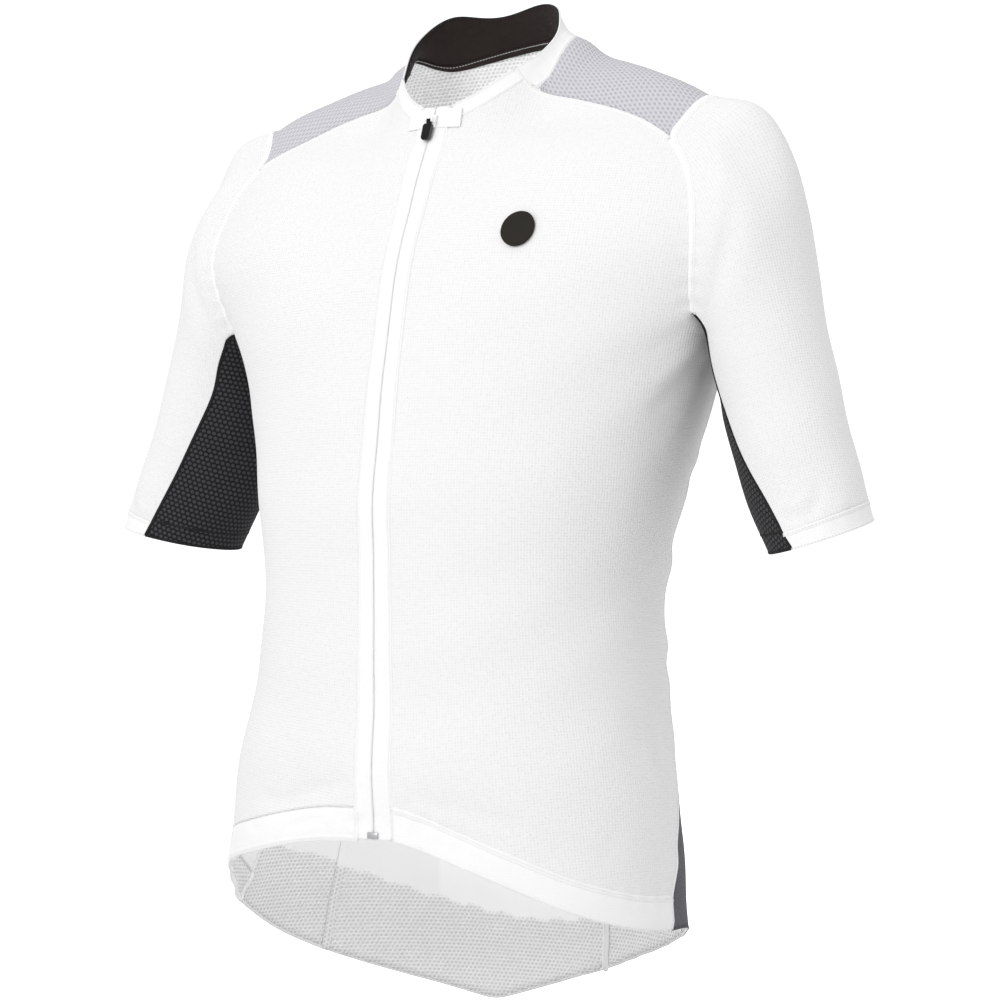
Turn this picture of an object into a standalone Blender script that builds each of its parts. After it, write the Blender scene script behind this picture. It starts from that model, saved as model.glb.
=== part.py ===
"""Short-sleeved cycling jersey, filled out as worn: every cut piece is a cloth wall of its own.

The cloth lies on a general figure. Torso pieces are patches on a stack of torso sections, and
the sleeves are rings lofted from the armhole to the cuff. Patches that meet share the points of
their seam, so their edges run side by side with a narrow gap. Metres, +Z up, front towards -Y,
the wearer's left towards +X. The origin is in the neck opening, level with the shoulder line.
"""

import math
from collections import namedtuple

import bmesh
import bpy
import numpy as np
from mathutils import Matrix
from mathutils.bvhtree import BVHTree

# Driving dimensions, in metres unless a name says otherwise.
SEAM_GAP = 0.0003  # between the edges of two pieces that are sewn together
LAID_GAP = 0.0003  # between a panel and what lies on it
SHELL = 0.0013  # body and sleeve cloth
MESH_CLOTH = 0.0015  # open mesh of the back and the sleeve gussets
TRIM = 0.0012  # hem band, cuffs, binding, tape and collar layers
PATCH_CLOTH = 0.0010  # pockets, zip guards and badge

COLLAR_TOP_FRONT = 51.0  # degrees round the neck at the collar's front ends, top and base
COLLAR_BASE_FRONT = 69.0
CUFF_TURN_LEFT = 2.8  # how late along each sleeve the gusset seams spread
CUFF_TURN_RIGHT = 1.1
CUFF_LEAN_LEFT = 0.16  # how far each cuff hangs lower in front, as a share of its depth
CUFF_LEAN_RIGHT = -0.06
LONGEST_STEP = 0.01  # of a point that is moved onto the figure

ZIP_WIDE = 0.0145  # centre line to the outer edge of one zip tape at the hem
ZIP_NARROW = 0.0115  # and from the chest upwards
ZIP_NARROW_FROM = -0.150
ZIP_SPLIT = 0.0002  # centre line to the inner edge of one zip tape
ZIP_WIDE_TO = -0.532  # heights between which the tape narrows
HEM_BAND = 0.021  # height of the elastic band on the front hem
CUFF_BAND = 0.030  # share of the sleeve's length that the cuff band takes
HEM_SWING = 6.5  # degrees that the hem has turned on the wearer, towards the left
SWING_FROM = -0.19  # height above which the jersey sits straight
SWING_TO = -0.68  # height at which the whole turn is reached

GUARD_INNER = 0.0046  # the zip guards: from beside the slider outwards, and their two heights
GUARD_OUTER = 0.0240
GUARD_TOP = -0.0262
GUARD_FOOT = -0.0400
GUARD_GUESS = -0.040  # rough depth of their place, which is then settled
GUARD_GAP = 0.0005  # to the pieces that the guard bridges

POCKET_FOOT = 2  # rows of the back panel at the pockets' foot and mouth
POCKET_MOUTH = 10
POCKET_DIVIDE = 8  # columns from the middle of the back to a seam between two pockets
POCKET_SIDE = 15
POCKET_SLACK = 0.0022  # how far a pocket's mouth stands off in its middle

BADGE_RADIUS = 0.013
BADGE_PLACE = (0.0935, -0.062, -0.1175)
BADGE_CELLS = 10

SLIDER_HEIGHT = -0.0355
SLIDER_STANDOFF = 0.0005  # slider back to the zip tapes
SLIDER_DEPTH = 0.0022
LUG_SIZE = 0.0030  # of the two square lugs that hold the pin
LUG_INNER = 0.0020
LUG_OUTER = 0.0032
SLIDER_HALF_WIDTH = 0.0039
SLIDER_HALF_LENGTH = 0.0047
PIN_SIZE = 0.0007
RING_HOLE = 0.00068
RING_RADIUS = 0.00112
RING_HALF_WIDTH = 0.0017
STOP_HALF_WIDTH = 0.0042
STOP_FOOT = 0.0008  # the bottom stop, above the hem
STOP_TOP = 0.0052
STOP_DEPTH = 0.0020

# Counts of the grid cells along each seam.
SIDE_ROWS = 20
ARM_FRONT = 8  # yoke seam to the front corner of the sleeve gusset
ARM_UNDER_FRONT = 3  # gusset corner to the front side seam
ARM_UNDER = 3  # across the top of the side panel
ARM_UNDER_BACK = 2
ARM_BACK = 12  # back gusset corner over the shoulder to the yoke seam
YOKE_COLUMNS = 9
NECK_ROWS = 4
COLLAR_COLUMNS = 16
COLLAR_ROWS = (0.0, 0.4, 0.7, 1.0)  # shares of the way up the collar
SLEEVE_ROWS = 15

Section = namedtuple("Section", "height half_width front back centre_y power")
TORSO = (
    Section(-0.720, 0.186, 0.109, 0.126, -0.018, 2.2),
    Section(-0.600, 0.182, 0.110, 0.124, -0.018, 2.2),
    Section(-0.548, 0.177, 0.108, 0.122, -0.017, 2.2),
    Section(-0.490, 0.170, 0.106, 0.121, -0.017, 2.2),
    Section(-0.440, 0.160, 0.104, 0.116, -0.012, 2.2),
    Section(-0.370, 0.154, 0.104, 0.112, -0.007, 2.2),
    Section(-0.290, 0.168, 0.108, 0.115, 0.001, 2.2),
    Section(-0.230, 0.184, 0.108, 0.119, 0.011, 2.2),
    Section(-0.175, 0.207, 0.105, 0.117, 0.018, 2.3),
    Section(-0.120, 0.237, 0.091, 0.108, 0.020, 2.3),
    Section(-0.085, 0.231, 0.073, 0.096, 0.020, 2.2),
    Section(-0.056, 0.208, 0.054, 0.080, 0.020, 2.2),
    Section(-0.033, 0.202, 0.026, 0.066, 0.020, 2.0),
    Section(-0.020, 0.197, 0.022, 0.056, 0.021, 1.8),
    Section(0.000, 0.140, 0.020, 0.050, 0.030, 1.7),
    Section(0.024, 0.086, 0.018, 0.036, 0.040, 1.7),
    Section(0.040, 0.030, 0.014, 0.028, 0.038, 1.8),
    Section(0.090, 0.012, 0.012, 0.012, 0.036, 2.0),
)
NECK = (
    Section(-0.160, 0.040, 0.089, 0.035, 0.030, 2.0),
    Section(-0.090, 0.084, 0.087, 0.040, 0.030, 2.0),
    Section(-0.060, 0.080, 0.076, 0.040, 0.030, 2.0),
    Section(-0.025, 0.073, 0.064, 0.041, 0.030, 2.0),
    Section(-0.005, 0.069, 0.058, 0.042, 0.030, 2.0),
    Section(0.010, 0.065, 0.057, 0.042, 0.031, 2.0),
    Section(0.030, 0.063, 0.053, 0.042, 0.032, 2.0),
    Section(0.046, 0.057, 0.049, 0.037, 0.031, 2.0),
    Section(0.080, 0.055, 0.046, 0.034, 0.030, 2.0),
)
NECK_BLEND = 0.007  # how softly the neck runs into the shoulders

# Angles are degrees round the torso or the neck from the centre front, positive towards the
# wearer's left. The hem and the collar's top edge are not quite the same on both sides, as on
# any jersey that is worn.
Edge = namedtuple("Edge", "angle height")
HEM = (
    Edge(-171.0, -0.667),
    Edge(-136.0, -0.641),
    Edge(-107.0, -0.614),
    Edge(-86.0, -0.588),
    Edge(-67.0, -0.559),
    Edge(-43.0, -0.546),
    Edge(-11.0, -0.532),
    Edge(4.0, -0.532),
    Edge(21.0, -0.547),
    Edge(36.0, -0.5636),
    Edge(51.0, -0.579),
    Edge(65.0, -0.587),
    Edge(83.0, -0.592),
    Edge(97.0, -0.592),
    Edge(112.0, -0.595),
    Edge(127.0, -0.606),
    Edge(161.0, -0.640),
    Edge(189.0, -0.667),
)
COLLAR_TOP = (
    Edge(-180.0, 0.053),
    Edge(-157.0, 0.049),
    Edge(-125.0, 0.053),
    Edge(-90.0, 0.039),
    Edge(-65.0, 0.020),
    Edge(-51.0, 0.002),
    Edge(51.0, 0.002),
    Edge(62.0, 0.009),
    Edge(80.0, 0.024),
    Edge(96.0, 0.040),
    Edge(125.0, 0.051),
    Edge(155.0, 0.057),
    Edge(180.0, 0.053),
)
COLLAR_BASE = (
    Edge(-180.0, 0.0275),
    Edge(-150.0, 0.0205),
    Edge(-117.0, 0.0115),
    Edge(-95.0, 0.0045),
    Edge(-69.0, -0.010),
    Edge(69.0, -0.010),
    Edge(95.0, 0.012),
    Edge(115.0, 0.023),
    Edge(150.0, 0.029),
    Edge(180.0, 0.0275),
)
SIDE_FRONT = (
    Edge(88.5, -0.6000),
    Edge(103.5, -0.5200),
    Edge(115.0, -0.4400),
    Edge(118.5, -0.3700),
    Edge(119.5, -0.3000),
    Edge(114.5, -0.2350),
    Edge(99.6, -0.1890),
)
SIDE_BACK = (
    Edge(126.0, -0.6000),
    Edge(130.0, -0.5200),
    Edge(133.0, -0.4400),
    Edge(134.5, -0.3000),
    Edge(127.5, -0.2350),
    Edge(111.0, -0.1890),
)

# Seams by rough places on the wearer's left, which are then settled onto the figure. The first
# column orders the rows; on the armhole it also names the marks.
Place = namedtuple("Place", "along x y z")
NECKLINE = (
    Place(0.0, 0.000, -0.042, -0.0250),
    Place(0.4, 0.028, -0.032, -0.0175),
    Place(0.7, 0.040, -0.020, -0.0080),
    Place(1.0, 0.051, -0.009, 0.0015),
)
NECK_EDGE = (
    Place(0.0, 0.000, -0.044, -0.0345),
    Place(0.4, 0.031, -0.037, -0.0265),
    Place(0.7, 0.046, -0.023, -0.0160),
    Place(1.0, 0.057, -0.007, -0.0055),
)
YOKE_FRONT = (
    Place(0.0, 0.065, -0.005, -0.0130),
    Place(0.5, 0.130, 0.002, -0.0330),
    Place(1.0, 0.179, -0.009, -0.0550),
)
GUSSET_FRONT = 0.36
SIDE_SEAM_FRONT = 0.43
SIDE_SEAM_BACK = 0.50
GUSSET_BACK = 0.56
ARMHOLE = (
    Place(0.00, 0.179, -0.009, -0.0550),
    Place(0.07, 0.196, -0.014, -0.0740),
    Place(0.14, 0.207, -0.023, -0.1000),
    Place(0.21, 0.211, -0.029, -0.1280),
    Place(0.29, 0.204, -0.022, -0.1580),
    Place(GUSSET_FRONT, 0.200, -0.013, -0.1750),
    Place(SIDE_SEAM_FRONT, 0.199, 0.036, -0.1895),
    Place(SIDE_SEAM_BACK, 0.195, 0.060, -0.1840),
    Place(GUSSET_BACK, 0.193, 0.074, -0.1740),
    Place(0.70, 0.200, 0.080, -0.1150),
    Place(0.84, 0.203, 0.056, -0.0480),
    Place(0.92, 0.195, 0.021, -0.0200),
    Place(0.96, 0.187, 0.005, -0.0350),
    Place(1.00, 0.179, -0.009, -0.0550),
)

# The sleeve's rings: its outer line, its under-arm line and its depth from front to back.
Ring = namedtuple("Ring", "along top_x top_z under_x under_z centre_y half_depth skew")
SLEEVE = (
    Ring(0.00, 0.195, -0.020, 0.199, -0.190, 0.026, 0.066, 0.05),
    Ring(0.12, 0.226, -0.026, 0.200, -0.199, 0.026, 0.063, 0.12),
    Ring(0.24, 0.246, -0.049, 0.200, -0.209, 0.029, 0.059, 0.12),
    Ring(0.38, 0.2595, -0.089, 0.2015, -0.224, 0.029, 0.055, 0.11),
    Ring(0.52, 0.2670, -0.137, 0.203, -0.242, 0.030, 0.050, 0.12),
    Ring(0.68, 0.2815, -0.196, 0.2105, -0.267, 0.027, 0.046, 0.16),
    Ring(0.84, 0.2995, -0.255, 0.2215, -0.297, 0.024, 0.043, 0.21),
    Ring(1.00, 0.3200, -0.316, 0.243, -0.335, 0.020, 0.0415, 0.23),
)
CUFF_GUSSET_FRONT = 100.0  # degrees round the cuff from its outer side, over the front
CUFF_GUSSET_BACK = 250.0

# The largest folds: soft troughs and ridges along short lines. A trough has a negative depth.
Fold = namedtuple("Fold", "x1 y1 z1 x2 y2 z2 depth width")
FOLDS = (
    Fold(0.190, -0.020, -0.206, 0.168, -0.056, -0.226, -0.0040, 0.011),
    Fold(0.190, -0.002, -0.230, 0.172, -0.040, -0.264, -0.0034, 0.012),
    Fold(0.214, -0.028, -0.206, 0.230, -0.032, -0.250, -0.0026, 0.012),
    Fold(0.178, 0.102, -0.208, 0.152, 0.118, -0.246, -0.0042, 0.014),
    Fold(0.166, -0.050, -0.262, 0.152, -0.062, -0.392, -0.0030, 0.026),
    Fold(-0.189, -0.018, -0.210, -0.166, -0.058, -0.236, -0.0036, 0.012),
    Fold(-0.188, 0.004, -0.238, -0.172, -0.034, -0.276, -0.0030, 0.013),
    Fold(-0.216, -0.028, -0.210, -0.230, -0.032, -0.244, -0.0028, 0.011),
    Fold(-0.176, 0.102, -0.204, -0.148, 0.120, -0.238, -0.0038, 0.015),
    Fold(-0.164, -0.054, -0.280, -0.150, -0.060, -0.380, -0.0024, 0.024),
    Fold(-0.130, 0.086, -0.372, 0.086, 0.106, -0.346, -0.0044, 0.017),
    Fold(-0.080, 0.104, -0.312, 0.122, 0.092, -0.330, -0.0030, 0.018),
    Fold(-0.110, -0.100, -0.514, -0.022, -0.128, -0.500, -0.0022, 0.013),
    Fold(0.020, -0.128, -0.514, 0.078, -0.118, -0.538, -0.0024, 0.013),
    Fold(0.076, 0.096, -0.594, 0.048, 0.106, -0.634, 0.0034, 0.012),
    Fold(-0.060, 0.104, -0.600, -0.086, 0.094, -0.642, 0.0026, 0.014),
    Fold(0.262, -0.020, -0.300, 0.292, -0.014, -0.288, -0.0022, 0.011),
    Fold(0.246, 0.084, -0.186, 0.290, 0.070, -0.232, -0.0034, 0.015),
    Fold(-0.248, 0.084, -0.200, -0.294, 0.066, -0.250, -0.0030, 0.015),
    Fold(-0.256, -0.018, -0.280, -0.282, -0.014, -0.262, -0.0018, 0.012),
    Fold(-0.090, 0.104, -0.150, 0.040, 0.124, -0.176, -0.0026, 0.022),
)

# The pull tab below its ring: how far down from the axis, half as wide and half as thick.
Step = namedtuple("Step", "drop half_width half_thick")
TAB = (
    Step(0.0024, 0.0017, 0.0006),
    Step(0.0032, 0.0032, 0.0011),
    Step(0.0044, 0.0038, 0.0013),
    Step(0.0130, 0.0036, 0.0013),
    Step(0.0146, 0.0030, 0.0012),
    Step(0.0152, 0.0019, 0.0009),
)


def spread(table, along):
    """Columns after the first, read at each place along the first by a smooth monotone curve."""
    rows = np.array(table, dtype=float)
    x, y = rows[:, 0], rows[:, 1:]
    at = np.clip(np.asarray(along, dtype=float), x[0], x[-1])
    step = np.diff(x)[:, None]
    rise = np.diff(y, axis=0) / step
    slope = np.zeros_like(y)
    same = rise[:-1] * rise[1:] > 0
    before, after = step[:-1], step[1:]
    weight = (before + 2 * after) / np.where(same, rise[:-1], 1) + (2 * before + after) / np.where(
        same, rise[1:], 1
    )
    slope[1:-1] = np.where(same, 3 * (before + after) / np.where(same, weight, 1), 0)
    slope[0], slope[-1] = rise[0], rise[-1]
    cell = np.clip(np.searchsorted(x, at, side="right") - 1, 0, len(x) - 2)
    width = step[cell]
    part = ((at - x[cell])[..., None]) / width
    return (
        (1 + 2 * part) * (1 - part) ** 2 * y[cell]
        + part * (1 - part) ** 2 * width * slope[cell]
        + part**2 * (3 - 2 * part) * y[cell + 1]
        + part**2 * (part - 1) * width * slope[cell + 1]
    )


def unit(vectors):
    return vectors / np.maximum(np.linalg.norm(vectors, axis=-1, keepdims=True), 1e-12)


def swing(height):
    """Degrees that the cloth has turned round the figure at a height."""
    share = np.clip((SWING_FROM - height) / (SWING_FROM - SWING_TO), 0, 1)
    return HEM_SWING * share * share * (3 - 2 * share)


def on_stack(stack, turn, height):
    """Points on a stack of sections, at angles in radians."""
    half_width, front, back, centre_y, power = np.moveaxis(spread(stack, height), -1, 0)
    across, ahead = np.sin(turn), np.cos(turn)
    reach = (np.abs(across) ** power + np.abs(ahead) ** power) ** (-1 / power)
    depth = np.where(ahead > 0, front, back)
    return np.stack(
        [half_width * reach * across, centre_y - depth * reach * ahead, height], axis=-1
    )


def on_torso(angle, height):
    """Points of the torso at cloth angles and heights."""
    angle, height = np.broadcast_arrays(np.asarray(angle, float), np.asarray(height, float))
    return on_stack(TORSO, np.radians(angle + swing(height)), height)


def on_neck(angle, height):
    return on_stack(NECK, np.radians(angle), np.asarray(height, float))


def outside(stack, points):
    """Metres that each point lies outside a stack of sections, at its own height."""
    half_width, front, back, centre_y, power = np.moveaxis(spread(stack, points[..., 2]), -1, 0)
    ahead = centre_y - points[..., 1]
    depth = np.where(ahead > 0, front, back)
    share = (
        np.abs(points[..., 0] / half_width) ** power + np.abs(ahead / depth) ** power
    ) ** (1 / power)
    reach = np.hypot(points[..., 0], ahead)
    return reach - reach / np.maximum(share, 1e-6)


def beyond(points):
    """Metres that each point lies outside the figure: torso and neck, softly joined."""
    torso, neck = outside(TORSO, points), outside(NECK, points)
    return -NECK_BLEND * np.logaddexp(-torso / NECK_BLEND, -neck / NECK_BLEND)


def steepest(points):
    probe = 0.0004
    parts = []
    for axis in range(3):
        shift = np.zeros(3)
        shift[axis] = probe
        parts.append((beyond(points + shift) - beyond(points - shift)) / (2 * probe))
    return np.stack(parts, axis=-1)


def settle(points, rounds=6, level=False):
    """Moves points onto the figure, along its surface normal or, if level, at their height."""
    for _ in range(rounds):
        slope = steepest(points)
        if level:
            slope = slope * (1, 1, 0)
        size = np.maximum(np.sum(slope * slope, axis=-1, keepdims=True), 1e-9)
        step = beyond(points)[..., None] * slope / size
        longest = np.maximum(np.linalg.norm(step, axis=-1, keepdims=True) / LONGEST_STEP, 1)
        points = points - step / longest
    return points


def resample(points, count):
    """A line's points at even distances."""
    length = np.concatenate([[0], np.cumsum(np.linalg.norm(np.diff(points, axis=0), axis=1))])
    at = np.linspace(0, length[-1], count + 1)
    return np.stack([np.interp(at, length, points[:, axis]) for axis in range(3)], axis=-1)


def seam_line(table, side, count, first=0.0, last=1.0):
    """A seam's points on the figure, spaced evenly; side is +1 for the wearer's left."""
    places = settle(spread(table, np.linspace(first, last, 120)))
    return settle(resample(places, count)) * (side, 1, 1)


def edge_height(table, angle):
    start = table[0].angle
    return spread(table, (np.asarray(angle, float) - start) % 360 + start)[..., 0]


def hem_height(angle):
    return edge_height(HEM, angle)


def zip_half_width(height):
    return np.interp(height, (ZIP_WIDE_TO, ZIP_NARROW_FROM), (ZIP_WIDE, ZIP_NARROW))


def from_zip(line, count):
    """The part of a line that lies beyond the zip tape, evenly spaced; it starts at the centre."""
    reach = np.linalg.norm(line - line[0], axis=-1)
    half_width = zip_half_width(line[0, 2])
    start = [np.interp(half_width, reach, line[:, axis]) for axis in range(3)]
    return settle(resample(np.concatenate([[start], line[reach > half_width]]), count))


def side_line(table, side, count):
    """A side seam from the hem up to the armhole; its foot follows the hem."""
    foot = table[0]
    hem = float(hem_height(side * foot.angle))
    top = table[-1].height
    rows = [((row.height - foot.height) / (top - foot.height), row.angle) for row in table]
    along = np.linspace(0, 1, 120)
    angle = spread(rows, along)[..., 0]
    return settle(resample(on_torso(side * angle, hem + (top - hem) * along), count))


def coons(bottom, top, start, end):
    """A grid of points between four edge lines: rows run from bottom to top."""
    across = np.linspace(0, 1, len(bottom))[None, :, None]
    up = np.linspace(0, 1, len(start))[:, None, None]
    ruled = (1 - up) * bottom[None] + up * top[None]
    crossed = (1 - across) * start[:, None] + across * end[:, None]
    corners = (1 - up) * ((1 - across) * bottom[0] + across * bottom[-1]) + up * (
        (1 - across) * top[0] + across * top[-1]
    )
    return ruled + crossed - corners


def relax(grid, rounds):
    """Evens out a grid's inner points on the figure; its edges stay."""
    grid[1:-1, 1:-1] = settle(grid[1:-1, 1:-1])
    for _ in range(rounds):
        middle = (grid[:-2, 1:-1] + grid[2:, 1:-1] + grid[1:-1, :-2] + grid[1:-1, 2:]) / 4
        grid[1:-1, 1:-1] = settle(middle, rounds=1)
    grid[1:-1, 1:-1] = settle(grid[1:-1, 1:-1])
    return grid


def tube_normals(tube):
    """Unit normals of a grid of points whose last column runs on into the first."""
    along = np.gradient(tube, axis=0)
    around = np.roll(tube, -1, axis=1) - np.roll(tube, 1, axis=1)
    return unit(np.cross(around, along))


def folded(points, normals):
    """Adds the folds to points on the cloth."""
    rise = np.zeros(points.shape[:-1])
    for fold in FOLDS:
        start, end = np.array(fold[:3]), np.array(fold[3:6])
        run = end - start
        share = np.clip(((points - start) @ run) / (run @ run), 0, 1)
        away = np.linalg.norm(points - start - share[..., None] * run, axis=-1)
        rise += fold.depth * np.exp(-((away / fold.width) ** 2))
    return points + normals * rise[..., None]


def inset(grid, normals, sides):
    """Moves the named edges of a grid in by half a seam gap, along the cloth."""
    moved = grid.copy()
    edges = {
        "bottom": ((0, slice(None)), 1),
        "top": ((-1, slice(None)), -1),
        "start": ((slice(None), 0), -1),
        "end": ((slice(None), -1), 1),
    }
    for side in sides:
        edge, sign = edges[side]
        line = grid[edge]
        run = unit(np.gradient(line, axis=0))
        moved[edge] += sign * SEAM_GAP / 2 * unit(np.cross(normals[edge], run))
    return moved


def cloth_material(name, colour, roughness, metallic=0.0):
    material = bpy.data.materials.new(name)
    material.use_nodes = True
    shader = material.node_tree.nodes["Principled BSDF"]
    shader.inputs["Base Color"].default_value = (*colour, 1)
    shader.inputs["Roughness"].default_value = roughness
    shader.inputs["Metallic"].default_value = metallic
    material.diffuse_color = (*colour, 1)
    return material


def wall(outer, inner):
    """A closed wall between two grids of points with the same rows and columns."""
    rows, columns = outer.shape[:2]
    bm = bmesh.new()
    bmesh.ops.create_grid(bm, x_segments=columns - 1, y_segments=rows - 1, size=1)
    place = bm.verts.layers.int.new("place")
    for vertex in bm.verts:
        column = round((vertex.co.x + 1) / 2 * (columns - 1))
        row = round((vertex.co.y + 1) / 2 * (rows - 1))
        vertex[place] = row * columns + column
    sheet = list(bm.verts)
    grown = bmesh.ops.extrude_face_region(bm, geom=list(bm.faces), use_keep_orig=True)
    back = [item for item in grown["geom"] if isinstance(item, bmesh.types.BMVert)]
    for vertices, points in ((sheet, outer), (back, inner)):
        flat = points.reshape(-1, 3)
        for vertex in vertices:
            vertex.co = flat[vertex[place]]
    bmesh.ops.triangulate(bm, faces=list(bm.faces), quad_method="SHORT_EDGE")
    return bm


def finish(name, bm, material, collection):
    """Makes an object of a closed body, with its faces out."""
    bmesh.ops.recalc_face_normals(bm, faces=list(bm.faces))
    mesh = bpy.data.meshes.new(name)
    bm.to_mesh(mesh)
    bm.free()
    mesh.shade_smooth()
    mesh.set_sharp_from_angle(angle=math.radians(50))
    mesh.materials.append(material)
    piece = bpy.data.objects.new(name, mesh)
    collection.objects.link(piece)
    return piece


def panel(name, grid, normals, thickness, sides, material, collection, lift=0.0):
    """A cloth wall whose outer face is a grid of points, moved out by lift."""
    face = inset(grid, normals, sides)
    outer = face + normals * lift
    return finish(name, wall(outer, outer - normals * thickness), material, collection)


def laid_on(points, pieces):
    """The nearest points on the surface of finished pieces."""
    corners, faces = [], []
    for piece in pieces:
        first = len(corners)
        corners.extend(vertex.co for vertex in piece.data.vertices)
        piece.data.calc_loop_triangles()
        faces.extend(
            [first + corner for corner in face.vertices] for face in piece.data.loop_triangles
        )
    tree = BVHTree.FromPolygons(corners, faces)
    flat = [tree.find_nearest(point)[0] for point in points.reshape(-1, 3)]
    return np.array(flat).reshape(points.shape)


def disc(cells):
    """A square grid of places, drawn out to a disc of radius one."""
    steps = np.linspace(-1, 1, cells + 1)
    x, y = np.meshgrid(steps, steps)
    reach = np.maximum(np.abs(x), np.abs(y))
    length = np.maximum(np.hypot(x, y), 1e-9)
    return x * reach / length, y * reach / length


def slider_body():
    """The slider's plate with two lugs and the pin between them; its origin is on the pin."""
    across = np.array([-SLIDER_HALF_WIDTH, -LUG_OUTER, -LUG_INNER])
    across = np.concatenate([across, -across[::-1]])
    up = np.array([-SLIDER_HALF_LENGTH, -LUG_SIZE / 2, LUG_SIZE / 2, SLIDER_HALF_LENGTH])
    x, z = np.meshgrid(across, up)
    front = np.stack([x, np.full(x.shape, LUG_SIZE / 2), z], axis=-1)
    bm = wall(front, front + (0, SLIDER_DEPTH, 0))
    bmesh.ops.join_triangles(
        bm, faces=list(bm.faces), angle_face_threshold=0.01, angle_shape_threshold=3.14
    )
    middle = (LUG_INNER + LUG_OUTER) / 2
    lugs = [
        face
        for face in bm.faces
        if abs(abs(face.calc_center_median().x) - middle) < 1e-6
        and abs(face.calc_center_median().z) < 1e-6
        and face.calc_center_median().y < LUG_SIZE / 2 + 1e-6
    ]
    tips = bmesh.ops.extrude_discrete_faces(bm, faces=lugs)["faces"]
    for tip in tips:
        bmesh.ops.translate(bm, verts=list(tip.verts), vec=(0, -LUG_SIZE, 0))
    bm.normal_update()
    cheeks = [
        face
        for face in bm.faces
        if abs(abs(face.calc_center_median().x) - LUG_INNER) < 1e-6 and abs(face.normal.x) > 0.9
    ]
    rim = (LUG_SIZE - PIN_SIZE) / 2
    bmesh.ops.inset_individual(bm, faces=cheeks, thickness=rim, use_even_offset=True)
    ends = [edge for face in cheeks for edge in face.edges]
    bmesh.ops.delete(bm, geom=cheeks, context="FACES_ONLY")
    bmesh.ops.bridge_loops(bm, edges=ends)
    return bm


def pull_tab():
    """The pull tab with the ring that turns on the slider's pin; its origin is on the pin."""
    bm = bmesh.new()
    turn = math.pi / 8
    corners = []
    for x, reach in (
        (-RING_HALF_WIDTH, RING_HOLE),
        (RING_HALF_WIDTH, RING_HOLE),
        (RING_HALF_WIDTH, RING_RADIUS),
        (-RING_HALF_WIDTH, RING_RADIUS),
    ):
        corners.append(bm.verts.new((x, reach * math.sin(turn), reach * math.cos(turn))))
    rim = [bm.edges.new((corners[corner - 1], corners[corner])) for corner in range(4)]
    bmesh.ops.spin(
        bm,
        geom=corners + rim,
        cent=(0, 0, 0),
        axis=(1, 0, 0),
        angle=2 * math.pi,
        steps=8,
        use_merge=True,
    )
    face = min(bm.faces, key=lambda side: side.calc_center_median().z)
    for step in TAB:
        face = bmesh.ops.extrude_discrete_faces(bm, faces=[face])["faces"][0]
        for vertex in face.verts:
            x = math.copysign(step.half_width, vertex.co.x)
            y = math.copysign(step.half_thick, vertex.co.y)
            vertex.co = (x, y, -step.drop)
    return bm


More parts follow.
